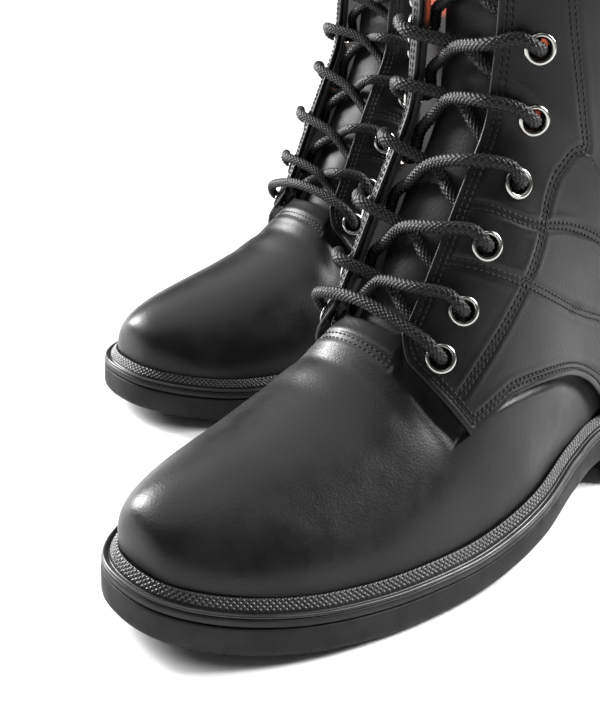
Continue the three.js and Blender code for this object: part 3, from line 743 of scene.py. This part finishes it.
def build_welt(side):
    """Knurled strip against the upper, a channel, and a smooth rim at the edge of the sole."""
    base = MIDSOLE_TOP + GAP
    crest = (5.9, base + 4.4)
    foot = (3.0, base + 0.8)
    knurl_rows = 14
    slope = [(lerp(crest[0], foot[0], k / knurl_rows), lerp(crest[1], foot[1], k / knurl_rows))
             for k in range(knurl_rows + 1)]
    profile = [(6.5, base), (6.4, base + 3.9), (6.2, base + 4.4), *slope, (2.9, base + 0.15),
               (2.3, base + 0.15), (2.1, base + 0.6), (1.8, base + 0.85), (1.3, base + 0.9),
               (0.9, base + 0.75), (0.6, base + 0.4), (0.5, base)]
    first = profile.index(slope[0])
    pitch = 2.1
    depth = 0.7
    around_points = 3600

    def knurl(points):
        """Raised diamonds on the sloping face."""
        out = np.zeros_like(points)
        around = np.linalg.norm(np.diff(points[first], axis=0, append=points[first][:1]), axis=1)
        travelled = np.r_[0, np.cumsum(around)[:-1]]
        turns = round(travelled[-1] / pitch)
        run = travelled / travelled[-1] * turns
        fall = math.dist(crest, foot) / pitch
        for k in range(1, knurl_rows):
            down = fall * k / knurl_rows
            one = np.abs((run + down) % 1 - 0.5) * 2
            other = np.abs((run - down) % 1 - 0.5) * 2
            height = depth * (1 - np.maximum(one, other))**0.7
            fade = min(k, knurl_rows - k, 2) / 2
            out[first + k, :, 2] = height * fade
        return out

    points = sole_rings(profile, around_points)
    points = (points + knurl(points)).reshape(-1, 3)
    faces = grid_quads(len(profile), around_points, True, True)
    add_piece("welt", points, faces, side, "boot", materials["knurled"], ["welt"])


def add_blocks(name, corners, side):
    """Chamfered rubber blocks, each given by its four lower and four upper corners."""
    chamfer = 0.7
    corners = np.asarray(corners, float)
    quads = np.array([[0, 1, 2, 3], [7, 6, 5, 4], [0, 4, 5, 1], [1, 5, 6, 2], [2, 6, 7, 3],
                      [3, 7, 4, 0]])
    faces = np.vstack([quads + 8 * k for k in range(len(corners))])
    piece = add_piece(name, corners.reshape(-1, 3), faces, side, "boot",
                      materials["tread"])
    piece.data.shade_flat()
    modifier = piece.modifiers.new("edges", "BEVEL")
    modifier.width = chamfer / 1000
    modifier.segments = 2


def tread_bars(back, count):
    """Bars either side of a middle channel, matching those of the CAD."""
    bar_pitch = 15
    bar_length = 9
    bar_inset = 2
    half_channel = 3
    lateral, medial = plan_edges(bar_inset)
    bars = []
    for index in range(count):
        start = back + index * bar_pitch
        stations = (start, start + bar_length)
        for edge, middle in ((lateral, half_channel), (medial, -half_channel)):
            plan = [(middle, stations[0]), (np.interp(stations[0], *edge), stations[0]),
                    (np.interp(stations[1], *edge), stations[1]), (middle, stations[1])]
            on_floor = 0 if start < HEEL_FRONT else 1
            low = [(x, a, on_floor * sole_curve(a)) for x, a in plan]
            bars.append(low + [(x, a, z + LUG_DEPTH + 0.3) for x, a, z in low])
    return bars


def build_treads(side):
    add_blocks("forepart_lugs", tread_bars(BALL_START - 30, 9), side)
    add_blocks("heel_lugs", tread_bars(7, 4), side)


def build_heel(side):
    """Heel block with a concave breast and a groove between its two lifts."""
    edge_inset = 0.5
    breast_hollow = 3
    breast_points = 24
    outline_step = 1.5
    lateral, medial = plan_edges(edge_inset)
    around = inset_plan(edge_inset, SOLE_POINTS)
    back = around[around[:, 1] < HEEL_FRONT]
    back = back[np.argsort(np.arctan2(back[:, 0], HEEL_FRONT - back[:, 1]))]
    across = np.linspace(np.interp(HEEL_FRONT, *lateral), np.interp(HEEL_FRONT, *medial),
                         breast_points)
    bow = 1 - np.linspace(-1, 1, breast_points)**2
    breast = np.column_stack([across, HEEL_FRONT - breast_hollow * bow])
    outline = evenly(np.vstack([back, breast, back[:1]]), outline_step)[:-1]
    centre = outline.mean(0)
    inwards = unit(centre - outline)
    top = HEEL_LIFT + LUG_DEPTH - GAP
    middle = (LUG_DEPTH + top) / 2
    profile = [(0.5, top), (0, top - 0.5), (0, middle + 0.5), (0.6, middle), (0, middle - 0.5),
               (0, LUG_DEPTH + 0.8), (0.8, LUG_DEPTH)]

    def ring(plan, height):
        return np.column_stack([plan, np.full(len(plan), height)])

    centre_ring = np.tile(centre, (len(outline), 1))
    rings = [ring(centre_ring, top),
             *[ring(outline + inwards * inset, height) for inset, height in profile],
             ring(centre_ring, LUG_DEPTH)]
    faces = grid_quads(len(rings), len(outline), False, True)
    add_piece("heel", np.vstack(rings), faces, side, "boot", materials["tread"],
              ["heel"], weld=1e-5)


def build_footbed(side):
    """Cloth-covered foam insole, crowned a little and rounded at its edge."""
    to_lining = 5.2
    edge = UPPER_INSET - DEEP_LINING_TOP + LINING + to_lining
    bottom, top = FOOTBED
    profile = [(edge + 6, top), (edge + 2.5, top - 0.1), (edge + 0.9, top - 0.5),
               (edge + 0.2, top - 1.3), (edge, top - 2.2), (edge + 0.1, bottom + 0.4),
               (edge + 0.6, bottom)]
    points, faces = plate_body(profile, 300)
    piece = add_piece("footbed", points, faces, side, "boot",
                      materials["footbed"], ["footbed"])


# ------------------------------------------------------------ seams of the upper
def ripple(points):
    """Slow unevenness of hand-lasted leather, in millimetres."""
    x, a, z = (points[..., k] for k in range(3))
    return (np.sin(x / 9.1 + a / 23) * np.sin(z / 12.7 + 1.3) + 0.6 * np.sin(a / 8.3 + z / 17)
            * np.sin(x / 14 - 0.7)) * 0.16


def crease(u, phi):
    """Soft folds across the vamp where the foot bends, and a dip below each tab corner."""
    window = np.exp(-(phi / 0.42)**4)
    folds = sum(depth * np.exp(-((u - middle) / width)**2)
                for middle, width, depth in ((5.42, 0.13, -0.5), (5.1, 0.18, 0.3),
                                            (4.75, 0.17, -0.3)))
    dip = -1.3 * np.exp(-((u - 5.75) / 0.22)**2 - ((np.abs(phi) - 0.5) / 0.1)**2)
    return folds * window + dip


def panel_columns():
    """Shares behind the facing, closer together where the edge turns at the tab corner."""
    return np.r_[np.linspace(0, TAB_START, 88, endpoint=False),
                 np.linspace(TAB_START, TAB_END, 20, endpoint=False), np.linspace(TAB_END, 1, 92)]


def quarter_outline(sign):
    """Edge of a quarter down the facing, round the tab and along the arc."""
    facing = np.linspace(COLLAR_EDGE, quarter_edge(np.zeros(1))[0], 260, endpoint=False)
    shares = panel_columns()
    u = np.r_[facing, quarter_edge(shares)]
    share = np.r_[np.zeros(len(facing)), shares]
    phi = sign * np.minimum(BACK_END, phi_behind_facing(u, share))
    return upper_point(u, phi, QUARTER_LAYER[1]), last_normal(u, phi)


def beside(line, normals, distance, sign):
    """The line moved across the surface, without the loops it would make at sharp corners."""
    ahead = np.gradient(line, axis=0)
    moved = line + unit(np.cross(ahead, normals)) * distance * sign
    nearest = np.min(np.linalg.norm(moved[:, None] - line[None], axis=2), axis=1)
    kept = nearest > abs(distance) * 0.97
    return moved[kept], normals[kept]


def line_on_quarter(stops, sign, shift=0.0):
    """Smooth line through (section, share) stops, moved sideways by shift."""
    u_stops, shares = np.array(stops, float).T
    knots = catmull_rom(np.column_stack([u_stops * 10, shares * 100]), np.linspace(0, 1, 160),
                        False)
    u = knots[:, 0] / 10
    phi = sign * np.minimum(BACK_END - 0.001, phi_behind_facing(u, knots[:, 1] / 100))
    points = upper_point(u, phi, QUARTER_LAYER[1])
    normals = last_normal(u, phi)
    ahead = np.gradient(points, axis=0)
    return points + unit(np.cross(ahead, normals)) * shift, normals


ROW_GAP = 2.0  # between the two rows of a double seam
EDGE_MARGIN = 2.4  # from the edge of a panel to its first row
BEHIND_EYELETS = [(15.3, 0.15), (14.09, 0.154), (11.4, 0.208), (8.84, 0.272), (7.08, 0.339),
                  (6.25, 0.352)]
UPPER_STRAP = [(7.79, 0.048), (8.36, 0.273), (9.61, 0.435), (11.7, 0.66), (13.1, 0.85),
               (13.6, 1)]
LOWER_STRAP = [(7.12, 0.045), (7.6, 0.291), (8.7, 0.615), (10.4, 0.8), (12.2, 0.9),
               (12.8, 1)]
BACK_SEAM = [(15.3, 0.955), (14, 0.95), (13, 0.945), (12.2, 0.93)]
TOP_LINE = [(15.22, 0.01), (15.22, 0.3), (15.22, 0.7), (15.22, 0.995)]


def quarter_seams(sign):
    """Every row of stitches on one quarter, as (points, normals)."""
    outline, normals = quarter_outline(sign)
    seams = [beside(outline, normals, EDGE_MARGIN + row * ROW_GAP, sign) for row in range(2)]
    for stops in (BEHIND_EYELETS, UPPER_STRAP, LOWER_STRAP, BACK_SEAM):
        seams += [line_on_quarter(stops, sign, shift) for shift in (-ROW_GAP / 2, ROW_GAP / 2)]
    seams.append(line_on_quarter(TOP_LINE, sign))
    return seams


def throat_seams():
    """Double row across the vamp where the tongue is sewn on."""
    half_span = 0.24
    top_row, row_step = 5.88, 0.075
    seams = []
    for row in range(2):
        phi = np.linspace(-half_span, half_span, 120)
        u = np.full(phi.shape, top_row - row_step * row)
        seams.append((upper_point(u, phi, VAMP_LAYER[1] + crease(u, phi)), last_normal(u, phi)))
    return seams


def distance_to(targets, points):
    """Distance from each point to the nearest target."""
    tree = KDTree(len(targets))
    for index, target in enumerate(targets):
        tree.insert(target, index)
    tree.balance()
    return np.array([tree.find(point)[2] for point in points])


def groove(points, seams, depth=0.45, width=0.75):
    """How far the leather is pulled in, or stands out, beside its seams."""
    seam_points = np.vstack([evenly(line, 0.5) for line, _ in seams])
    distance = distance_to(seam_points, points.reshape(-1, 3)).reshape(points.shape[:2])
    pull = depth * np.exp(-(distance / width)**2)
    puff = 0.16 * np.exp(-((distance - 2.2) / 1.1)**2)
    return puff - pull


def stitch_template():
    """A cube sphere of 26 points and 24 quads."""
    steps = (-1, 0, 1)
    grid = [(i, j, k) for i in steps for j in steps for k in steps if max(map(abs, (i, j, k)))]
    index = {corner: number for number, corner in enumerate(grid)}
    quads = []
    for axis in range(3):
        for end in (-1, 1):
            for i in (-1, 0):
                for j in (-1, 0):
                    ring = [(i, j), (i + 1, j), (i + 1, j + 1), (i, j + 1)]
                    corners = []
                    for first, second in ring[::end]:
                        corner = [first, second]
                        corner.insert(axis, end)
                        corners.append(index[tuple(corner)])
                    quads.append(corners[::-1] if axis == 1 else corners)
    return unit(np.array(grid, float)), np.array(quads)


STITCH_POINTS, STITCH_QUADS = stitch_template()


def stitches(seams, pitch=2.3, length=1.75, radius=0.36, sink=-0.12):
    """One rounded stitch after another along each seam."""
    points = []
    for line, normals in seams:
        both = evenly(np.column_stack([line, normals]), pitch)
        centres = (both[:-1, :3] + both[1:, :3]) / 2
        along = unit(np.diff(both[:, :3], axis=0))
        up = unit(both[:-1, 3:] + both[1:, 3:])
        across = np.cross(along, up)
        lifted = centres + up * sink
        shape = (along[:, None] * (STITCH_POINTS[:, 0:1] * length / 2)
                 + across[:, None] * (STITCH_POINTS[:, 1:2] * radius)
                 + up[:, None] * (STITCH_POINTS[:, 2:3] * radius * 0.8))
        points.append((lifted[:, None] + shape).reshape(-1, 3))
    points = np.vstack(points)
    count = len(points) // len(STITCH_POINTS)
    faces = (STITCH_QUADS[None] + len(STITCH_POINTS) * np.arange(count)[:, None, None])
    return points, faces.reshape(-1, 4)


def punched(outer, inner, sign, radius):
    """Opens round eyelet holes in a panel: drops the quads there and rounds their edge."""
    rows, columns = outer.shape[:2]
    keep = np.ones((rows - 1, columns - 1), bool)
    quads = grid_quads(rows, columns)
    flat = [outer.reshape(-1, 3).copy(), inner.reshape(-1, 3).copy()]
    middles = flat[0][quads].mean(1)
    near_side = 12  # keeps the other wall of the boot whole
    for u in EYELET_SECTIONS:
        centre, normal = eyelet_seat(u, sign)
        from_centre = middles - centre
        depth = from_centre @ normal
        away = np.linalg.norm(from_centre - depth[:, None] * normal, axis=1)
        dropped = (away < radius) & (np.abs(depth) < near_side)
        keep.ravel()[dropped] = False
        corners = np.intersect1d(np.unique(quads[dropped]), np.unique(quads[~dropped]))
        for sheet in flat:
            offset = sheet[corners] - centre
            high = (offset @ normal)[:, None] * normal
            sheet[corners] = centre + high + unit(offset - high) * radius
    return flat[0].reshape(outer.shape), flat[1].reshape(inner.shape), keep


# ------------------------------------------------------------ pieces of the upper
def build_quarter(side, name, sign):
    shares = panel_columns()[None, :]
    rows = (np.linspace(0, 1, 230)[:, None])**1.1
    u = lerp(quarter_edge(shares), COLLAR_EDGE, rows)
    phi = sign * np.minimum(BACK_END, phi_behind_facing(u, np.broadcast_to(shares, u.shape)))
    base = last_point(u, phi)
    normal = last_normal(u, phi)
    surface = base + normal * QUARTER_LAYER[1]
    seams = quarter_seams(sign)
    relief = groove(surface, seams) + ripple(surface)
    thin = np.maximum(QUARTER_LAYER[1] + relief, QUARTER_LAYER[0] + 0.6)
    outer = base + normal * thin[..., None]
    inner = base + normal * QUARTER_LAYER[0]
    outer, inner, keep = punched(outer, inner, sign, EYELET_CUT)
    points, faces = leather_shell(outer, inner, keep)
    add_piece(f"quarter_{name}", points, faces, side, "boot",
              materials["leather"], [f"quarter_{name}"])
    points, faces = stitches(seams)
    add_piece(f"stitches_{name}", points, faces, side, "boot", materials["thread"])


def upper_columns(shares, between_count):
    """Columns right round a section, as (sign, share, place between the facings)."""
    between = np.linspace(-1, 1, between_count)[1:-1]
    sign = np.r_[-np.ones(len(shares)), np.zeros(len(between)), np.ones(len(shares))]
    share = np.r_[shares[::-1], np.zeros(len(between)), shares]
    middle = np.r_[-np.ones(len(shares)), between, np.ones(len(shares))]
    return sign, share, middle


def build_vamp(side):
    sign, share, middle = upper_columns(panel_columns(), 44)
    under_facing = vamp_edge(np.zeros(1))[0]
    end = np.where(sign == 0, lerp(THROAT, under_facing, middle**6), vamp_edge(share))
    edge = phi_at_width(end, FACING_HALF_GAP)
    phi_row = np.where(sign == 0, middle * edge, sign * phi_behind_facing(end, share))
    rows = np.linspace(0, 1, 190)[:, None]
    u = end * rows**1.1
    phi = np.broadcast_to(phi_row, u.shape)
    under_edge = quarter_edge(np.clip(share_at(u, phi), 0, 1))
    tuck = VAMP_TUCK * smoothstep(u, under_edge - 0.35, under_edge - 0.05)
    base = last_point(u, phi)
    normal = last_normal(u, phi)
    bare = smoothstep(u, 0.2, 1.2)
    relief = (ripple(base) + crease(u, phi)) * bare
    seams = throat_seams()
    surface = base + normal * (VAMP_LAYER[1] + crease(u, phi))[..., None]
    relief += groove(surface, seams)
    outer = base + normal * (VAMP_LAYER[1] - tuck + relief)[..., None]
    inner = base + normal * (VAMP_LAYER[0] - tuck + np.minimum(relief, 0))[..., None]
    points, faces = leather_shell(outer, inner)
    add_piece("vamp", points, faces, side, "boot", materials["leather"],
              ["vamp"], weld=2e-5)
    points, faces = stitches(seams)
    add_piece("stitches_throat", points, faces, side, "boot", materials["thread"])


def lining_outside(u, phi):
    share = share_at(u, phi)
    start = lerp(LINING_RISE, COUNTER_TOP, smoothstep(share, 0.26, DEEP_SHARE - 0.04))
    behind_quarter = lerp(-GAP, -2, smoothstep(share, 0.28, DEEP_SHARE))
    return lerp(DEEP_LINING_TOP, behind_quarter, smoothstep(u, start, start + LINING_STEP))


def build_lining(side):
    sign, share, middle = upper_columns(np.linspace(0, 1, 100), 24)
    rows = np.r_[np.linspace(0, LINING_THROAT, 70, endpoint=False),
                 np.linspace(LINING_THROAT, COLLAR_EDGE, 210)]
    u = np.broadcast_to(rows[:, None], (len(rows), len(sign)))
    facing = phi_at_width(np.maximum(u, THROAT), FACING_HALF_GAP)
    phi = np.where(sign == 0, middle * facing, sign * (facing + (1 - facing) * share))
    outside = lining_outside(u, phi)
    base = last_point(u, phi)
    normal = last_normal(u, phi)
    outer = base + normal * outside[..., None]
    inner = base + normal * (outside - LINING)[..., None]
    outer, inner, keep = punched(outer, inner, 1, EYELET_CUT)
    outer, inner, keep_medial = punched(outer, inner, -1, EYELET_CUT)
    between = (sign[:-1] == 0) | (sign[1:] == 0)
    opening = (rows[:-1, None] >= LINING_THROAT) & between
    points, faces = leather_shell(outer, inner, keep & keep_medial & ~opening)
    piece = add_piece("lining", points, faces, side, "boot", materials["lining"],
                      ["lining"], weld=2e-5)
    paint_lining_shade(piece, side)


def paint_lining_shade(piece, side):
    """Marks where the lining is painted black as painted shade inside the boot: the forepart, and
    behind the eyelet rows.
    """
    reach, fade, red_above, black_below = 0.05, 0.003, 0.19, 0.125  # metres
    mesh = piece.data
    places = np.zeros(3 * len(mesh.vertices), np.float32)
    mesh.vertices.foreach_get("co", places)
    places = places.reshape(-1, 3)
    sections = np.linspace(THROAT, COLLAR_EDGE, 120)
    lines = [on_facing(sections, sign * EYELET_OFFSET, -LINING / 2) for _, sign in FLANKS]
    distance = distance_to(place(np.vstack(lines), side), places)
    attribute = mesh.attributes.new("lining_shade_black", "FLOAT", "POINT")
    height = places[:, 2]
    shade_near_eyelets = 1 - smoothstep(distance, reach, reach + fade)
    below_top = 1 - smoothstep(height, red_above, red_above + fade)
    forepart = 1 - smoothstep(height, black_below, black_below + 5 * fade)
    # painted shade: black behind the eyelet rows up to a height, and in the forepart
    lining_shade_black = np.maximum(shade_near_eyelets * below_top, forepart)
    attribute.data.foreach_set("value", lining_shade_black.astype(np.float32))


def build_tongue(side):
    half_base, half_top = 15, 30
    rows = np.linspace(0, 1, 220)[:, None]
    across = np.linspace(-1, 1, 70)[None, :]
    clear_foot = TONGUE_FOOT + 0.07
    u = lerp(clear_foot, COLLAR, rows**1.2)
    half = lerp(half_base, half_top, smoothstep(u, THROAT + 0.4, THROAT + 1.2))
    rounding = np.clip((u - (COLLAR - 0.9)) / 0.9, 0, 1)
    half = half * (1 - 0.32 * rounding**3)
    edge = phi_at_width(u, half)
    phi = edge * across
    u = np.broadcast_to(u, phi.shape)
    depth = -lerp(LEATHER + 2 * SKIN_GAP, TONGUE_TOP,
                  smoothstep(u, TONGUE_FOOT + 0.1, THROAT + 0.1))
    settled = smoothstep(u, THROAT + 0.1, THROAT + 1.0)
    sag = -2.4 * np.abs(across)**2.6 * settled
    waves = 0.35 * np.sin(u * 5.1 + 0.6 * across) * settled * (1 - across**2)
    base = last_point(u, phi)
    normal = last_normal(u, phi)
    surface = depth + sag - 0.3 + waves * 0.6
    outer = base + normal * (surface + ripple(base))[..., None]
    inner = base + normal * (surface - TONGUE + 0.6)[..., None]
    points, faces = leather_shell(outer, inner)
    add_piece("tongue", points, faces, side, "tongue",
              materials["soft_leather"], ["tongue"])


# ------------------------------------------------------------ eyelets and lace
def build_eyelets(side):
    """Rolled metal rings with a barrel through facing and lining."""
    barrel = EYELET_HOLE + 0.6
    under = QUARTER_LAYER[1] + GAP * 0.3
    bottom = -LINING - 0.4
    bead = [(lerp(EYELET_OUTER, EYELET_HOLE, share), under + 1.05 * math.sin(math.pi * share)**0.6)
            for share in np.linspace(0, 0.86, 12)]
    profile = [(barrel, under), *bead, (EYELET_HOLE, under + 0.2), (EYELET_HOLE, bottom),
               (barrel + 0.9, bottom - 0.2), (barrel + 1.0, bottom + 0.15), (barrel, bottom + 0.3)]
    steps = 40
    angles = np.arange(steps) * 2 * np.pi / steps
    for name, sign in FLANKS:
        for row, u in enumerate(EYELET_SECTIONS):
            centre, normal = eyelet_seat(u, sign)
            one = unit(np.cross(normal, [0, 0, 1.0]))
            other = np.cross(normal, one)
            points = np.array([centre + normal * height + radius * (
                one * math.cos(angle) + other * math.sin(angle))
                for radius, height in profile for angle in angles])
            faces = grid_quads(len(profile), steps, True, True)
            node = f"eyelet_{name}_{row + 1}"
            add_piece(node, points, faces, side, "boot", materials["nickel"],
                      [node])


def by_eyelet(row, side, inward, outward_by):
    """Point beside an eyelet: so far towards the middle of the boot and so far outward."""
    u = EYELET_SECTIONS[row]
    centre, normal = eyelet_seat(u, side)
    to_middle = on_facing(u, side * FACING_HALF_GAP, 0.0) - centre
    to_middle = unit(to_middle - (to_middle @ normal) * normal)
    return centre + normal * outward_by + to_middle * inward


def through_eyelet(row, side):
    over = FLANGE_TOP + LACE_RADIUS + 0.6
    return [by_eyelet(row, side, 8.5, over - 0.4), by_eyelet(row, side, 3.6, over),
            by_eyelet(row, side, 0.5, over - 2), by_eyelet(row, side, 0, FLANGE_TOP - 1.2),
            by_eyelet(row, side, 0, -1), by_eyelet(row, side, 0.6, -LACE_DEPTH)]


def lace_half(start_side):
    """One half of the lace, from the bottom eyelet up to its tucked end."""
    on_tongue = -TONGUE_TOP + LACE_RADIUS + SKIN_GAP / 2
    over_strand = on_tongue + LACE_DIAMETER + 2 * GAP
    over_edge = QUARTER_LAYER[1] + LACE_RADIUS + 3 * SKIN_GAP
    points = through_eyelet(0, start_side)[1:]
    side = start_side
    for row in range(EYELET_ROWS - 1):
        crossing = over_strand if side < 0 else on_tongue
        low, high = EYELET_SECTIONS[row:row + 2]
        points += [
            on_facing(lerp(low, high, 0.12), side * (FACING_HALF_GAP + 2), -LACE_DEPTH),
            on_facing(lerp(low, high, 0.25), side * 0.6 * FACING_HALF_GAP, -LACE_DEPTH + 0.3),
            on_facing(lerp(low, high, 0.5), side * 0.1, crossing),
            on_facing(lerp(low, high, 0.76), -side * (FACING_HALF_GAP - 0.5), over_edge),
            *through_eyelet(row + 1, -side)]
        side = -side
    wall = DEEP_LINING_TOP - LINING - LACE_RADIUS - SKIN_GAP
    tucked = ((0.24, 13.7), (0.34, 12.6), (0.4, 11.4), (0.44, 10.2))
    points += [upper_point(u, side * phi_behind_facing(np.array(u), np.array(share)), wall)
               for share, u in tucked]
    return points


def lace_route():
    over = FLANGE_TOP + LACE_RADIUS + 0.6
    bar = on_facing(EYELET_SECTIONS[0], 0.1, over)
    knots = [*lace_half(1)[::-1], by_eyelet(0, 1, 9, over + 0.6), bar,
             by_eyelet(0, -1, 9, over + 0.6), *lace_half(-1)]
    return np.array(knots)


def carried_frames(line):
    """Directions across the line that turn with it but never twist."""
    ahead = unit(np.gradient(line, axis=0))
    across = np.zeros_like(line)
    across[0] = unit(np.cross(ahead[0], [0.3, 0.2, 1.0]))
    for index in range(1, len(line)):
        kept = across[index - 1] - ahead[index] * (across[index - 1] @ ahead[index])
        across[index] = kept / np.linalg.norm(kept)
    return across, np.cross(ahead, across)


def build_lace(side):
    """Round braid: strands of two opposite helices pass over and under each other."""
    strands = 8
    lay = 17.0
    around = 48
    step = 0.36
    plait_depth = 0.7
    knots = lace_route()
    line = evenly(catmull_rom(knots, np.linspace(0, 1, 9000), False), step)
    across, upward = carried_frames(line)
    run = np.arange(len(line))[:, None] * step / lay
    turn = np.arange(around)[None, :] / around
    one = (strands * (turn + run)) % strands
    other = (strands * (turn - run)) % strands
    one_above = (np.floor(one) + np.floor(other)) % 2 == 0
    one_cross = np.sin(np.pi * (one % 1))
    other_cross = np.sin(np.pi * (other % 1))
    height = np.where(one_above, one_cross**0.7 * (0.35 + 0.65 * other_cross),
                      other_cross**0.7 * (0.35 + 0.65 * one_cross))
    end_taper = np.minimum(np.arange(len(line)), np.arange(len(line))[::-1])[:, None] * step
    round_end = np.sqrt(np.clip(1 - (1 - np.clip(end_taper / LACE_RADIUS, 0, 1))**2, 1e-4, 1))
    radius = (LACE_RADIUS + plait_depth * (height - 1)) * round_end
    angle = 2 * np.pi * turn
    points = (line[:, None] + across[:, None] * (radius * np.cos(angle))[..., None]
              + upward[:, None] * (radius * np.sin(angle))[..., None])
    walls = grid_quads(len(line), around, False, True)
    cap = cap_quads(around)
    last = (len(line) - 1) * around
    faces = np.vstack([walls, cap[:, ::-1], cap + last])
    piece = add_piece("lace", points.reshape(-1, 3), faces, side, "boot",
                      materials["braid"], ["lace"])
    # the plait height is kept on the mesh for the painted shade in the crevices
    plait_height_shade = piece.data.attributes.new("plait_height_shade", "FLOAT", "POINT")
    plait_height_shade.data.foreach_set("value", height.astype(np.float32).ravel())


# ------------------------------------------------------------ both boots
def dress_hidden_pieces(side):
    """Pieces inside the boot keep their CAD shape and get a finish."""
    for node, material in (("shank", "steel"), ("insole_board", "board"),
                           ("toe_cap", "stiffener"), ("heel_counter", "stiffener")):
        mesh = frame["nodes"][f"{node}_{side}"].data
        mesh.materials.clear()
        mesh.materials.append(materials[material])


for boot in SIDES:
    build_outsole(boot)
    build_midsole(boot)
    build_welt(boot)
    build_treads(boot)
    build_heel(boot)
    build_footbed(boot)
    build_vamp(boot)
    for flank, flank_sign in FLANKS:
        build_quarter(boot, flank, flank_sign)
    build_lining(boot)
    build_tongue(boot)
    build_eyelets(boot)
    build_lace(boot)
    dress_hidden_pieces(boot)


# ------------------------------------------------------------ studio
def make_floor():
    mesh = bpy.data.meshes.new("floor")
    half = 6
    mesh.from_pydata([(-half, -half, 0), (half, -half, 0), (half, half, 0), (-half, half, 0)], [],
                     [(0, 1, 2, 3)])
    floor = bpy.data.objects.new("floor", mesh)
    mesh.materials.append(new_material("pale_floor", (0.9, 0.9, 0.9), 0.7)[0])
    bpy.context.scene.collection.objects.link(floor)


def add_light(name, place_at, aim, size, power):
    data = bpy.data.lights.new(name, "AREA")
    data.shape = "RECTANGLE"
    data.size, data.size_y = size
    data.energy = power
    light = bpy.data.objects.new(name, data)
    light.location = place_at
    light.rotation_mode = "QUATERNION"
    light.rotation_quaternion = (Vector(aim) - Vector(place_at)).to_track_quat("-Z", "Y")
    bpy.context.scene.collection.objects.link(light)


def make_studio():
    make_floor()
    low, high = cad_box
    middle = (low + high) / 2
    add_light("left_box", middle + Vector((-1.14, -0.42, 0.42)), middle, (0.35, 0.55), 40)
    add_light("right_box", middle + Vector((0.62, 0.8, 0.75)), middle, (0.5, 0.6), 34)
    sky = bpy.data.objects.new("sky", bpy.data.lights.new("sky", "SUN"))
    sky.data.angle = math.radians(80)
    sky.data.energy = 3.1
    sky.rotation_euler = (math.radians(8), math.radians(-24), 0)
    bpy.context.scene.collection.objects.link(sky)
    world = bpy.data.worlds.new("studio")
    world.use_nodes = True
    background = world.node_tree.nodes["Background"]
    background.inputs["Color"].default_value = (1, 1, 1, 1)
    background.inputs["Strength"].default_value = 0.14
    bpy.context.scene.world = world
    bpy.context.scene.view_settings.view_transform = "Standard"


make_studio()
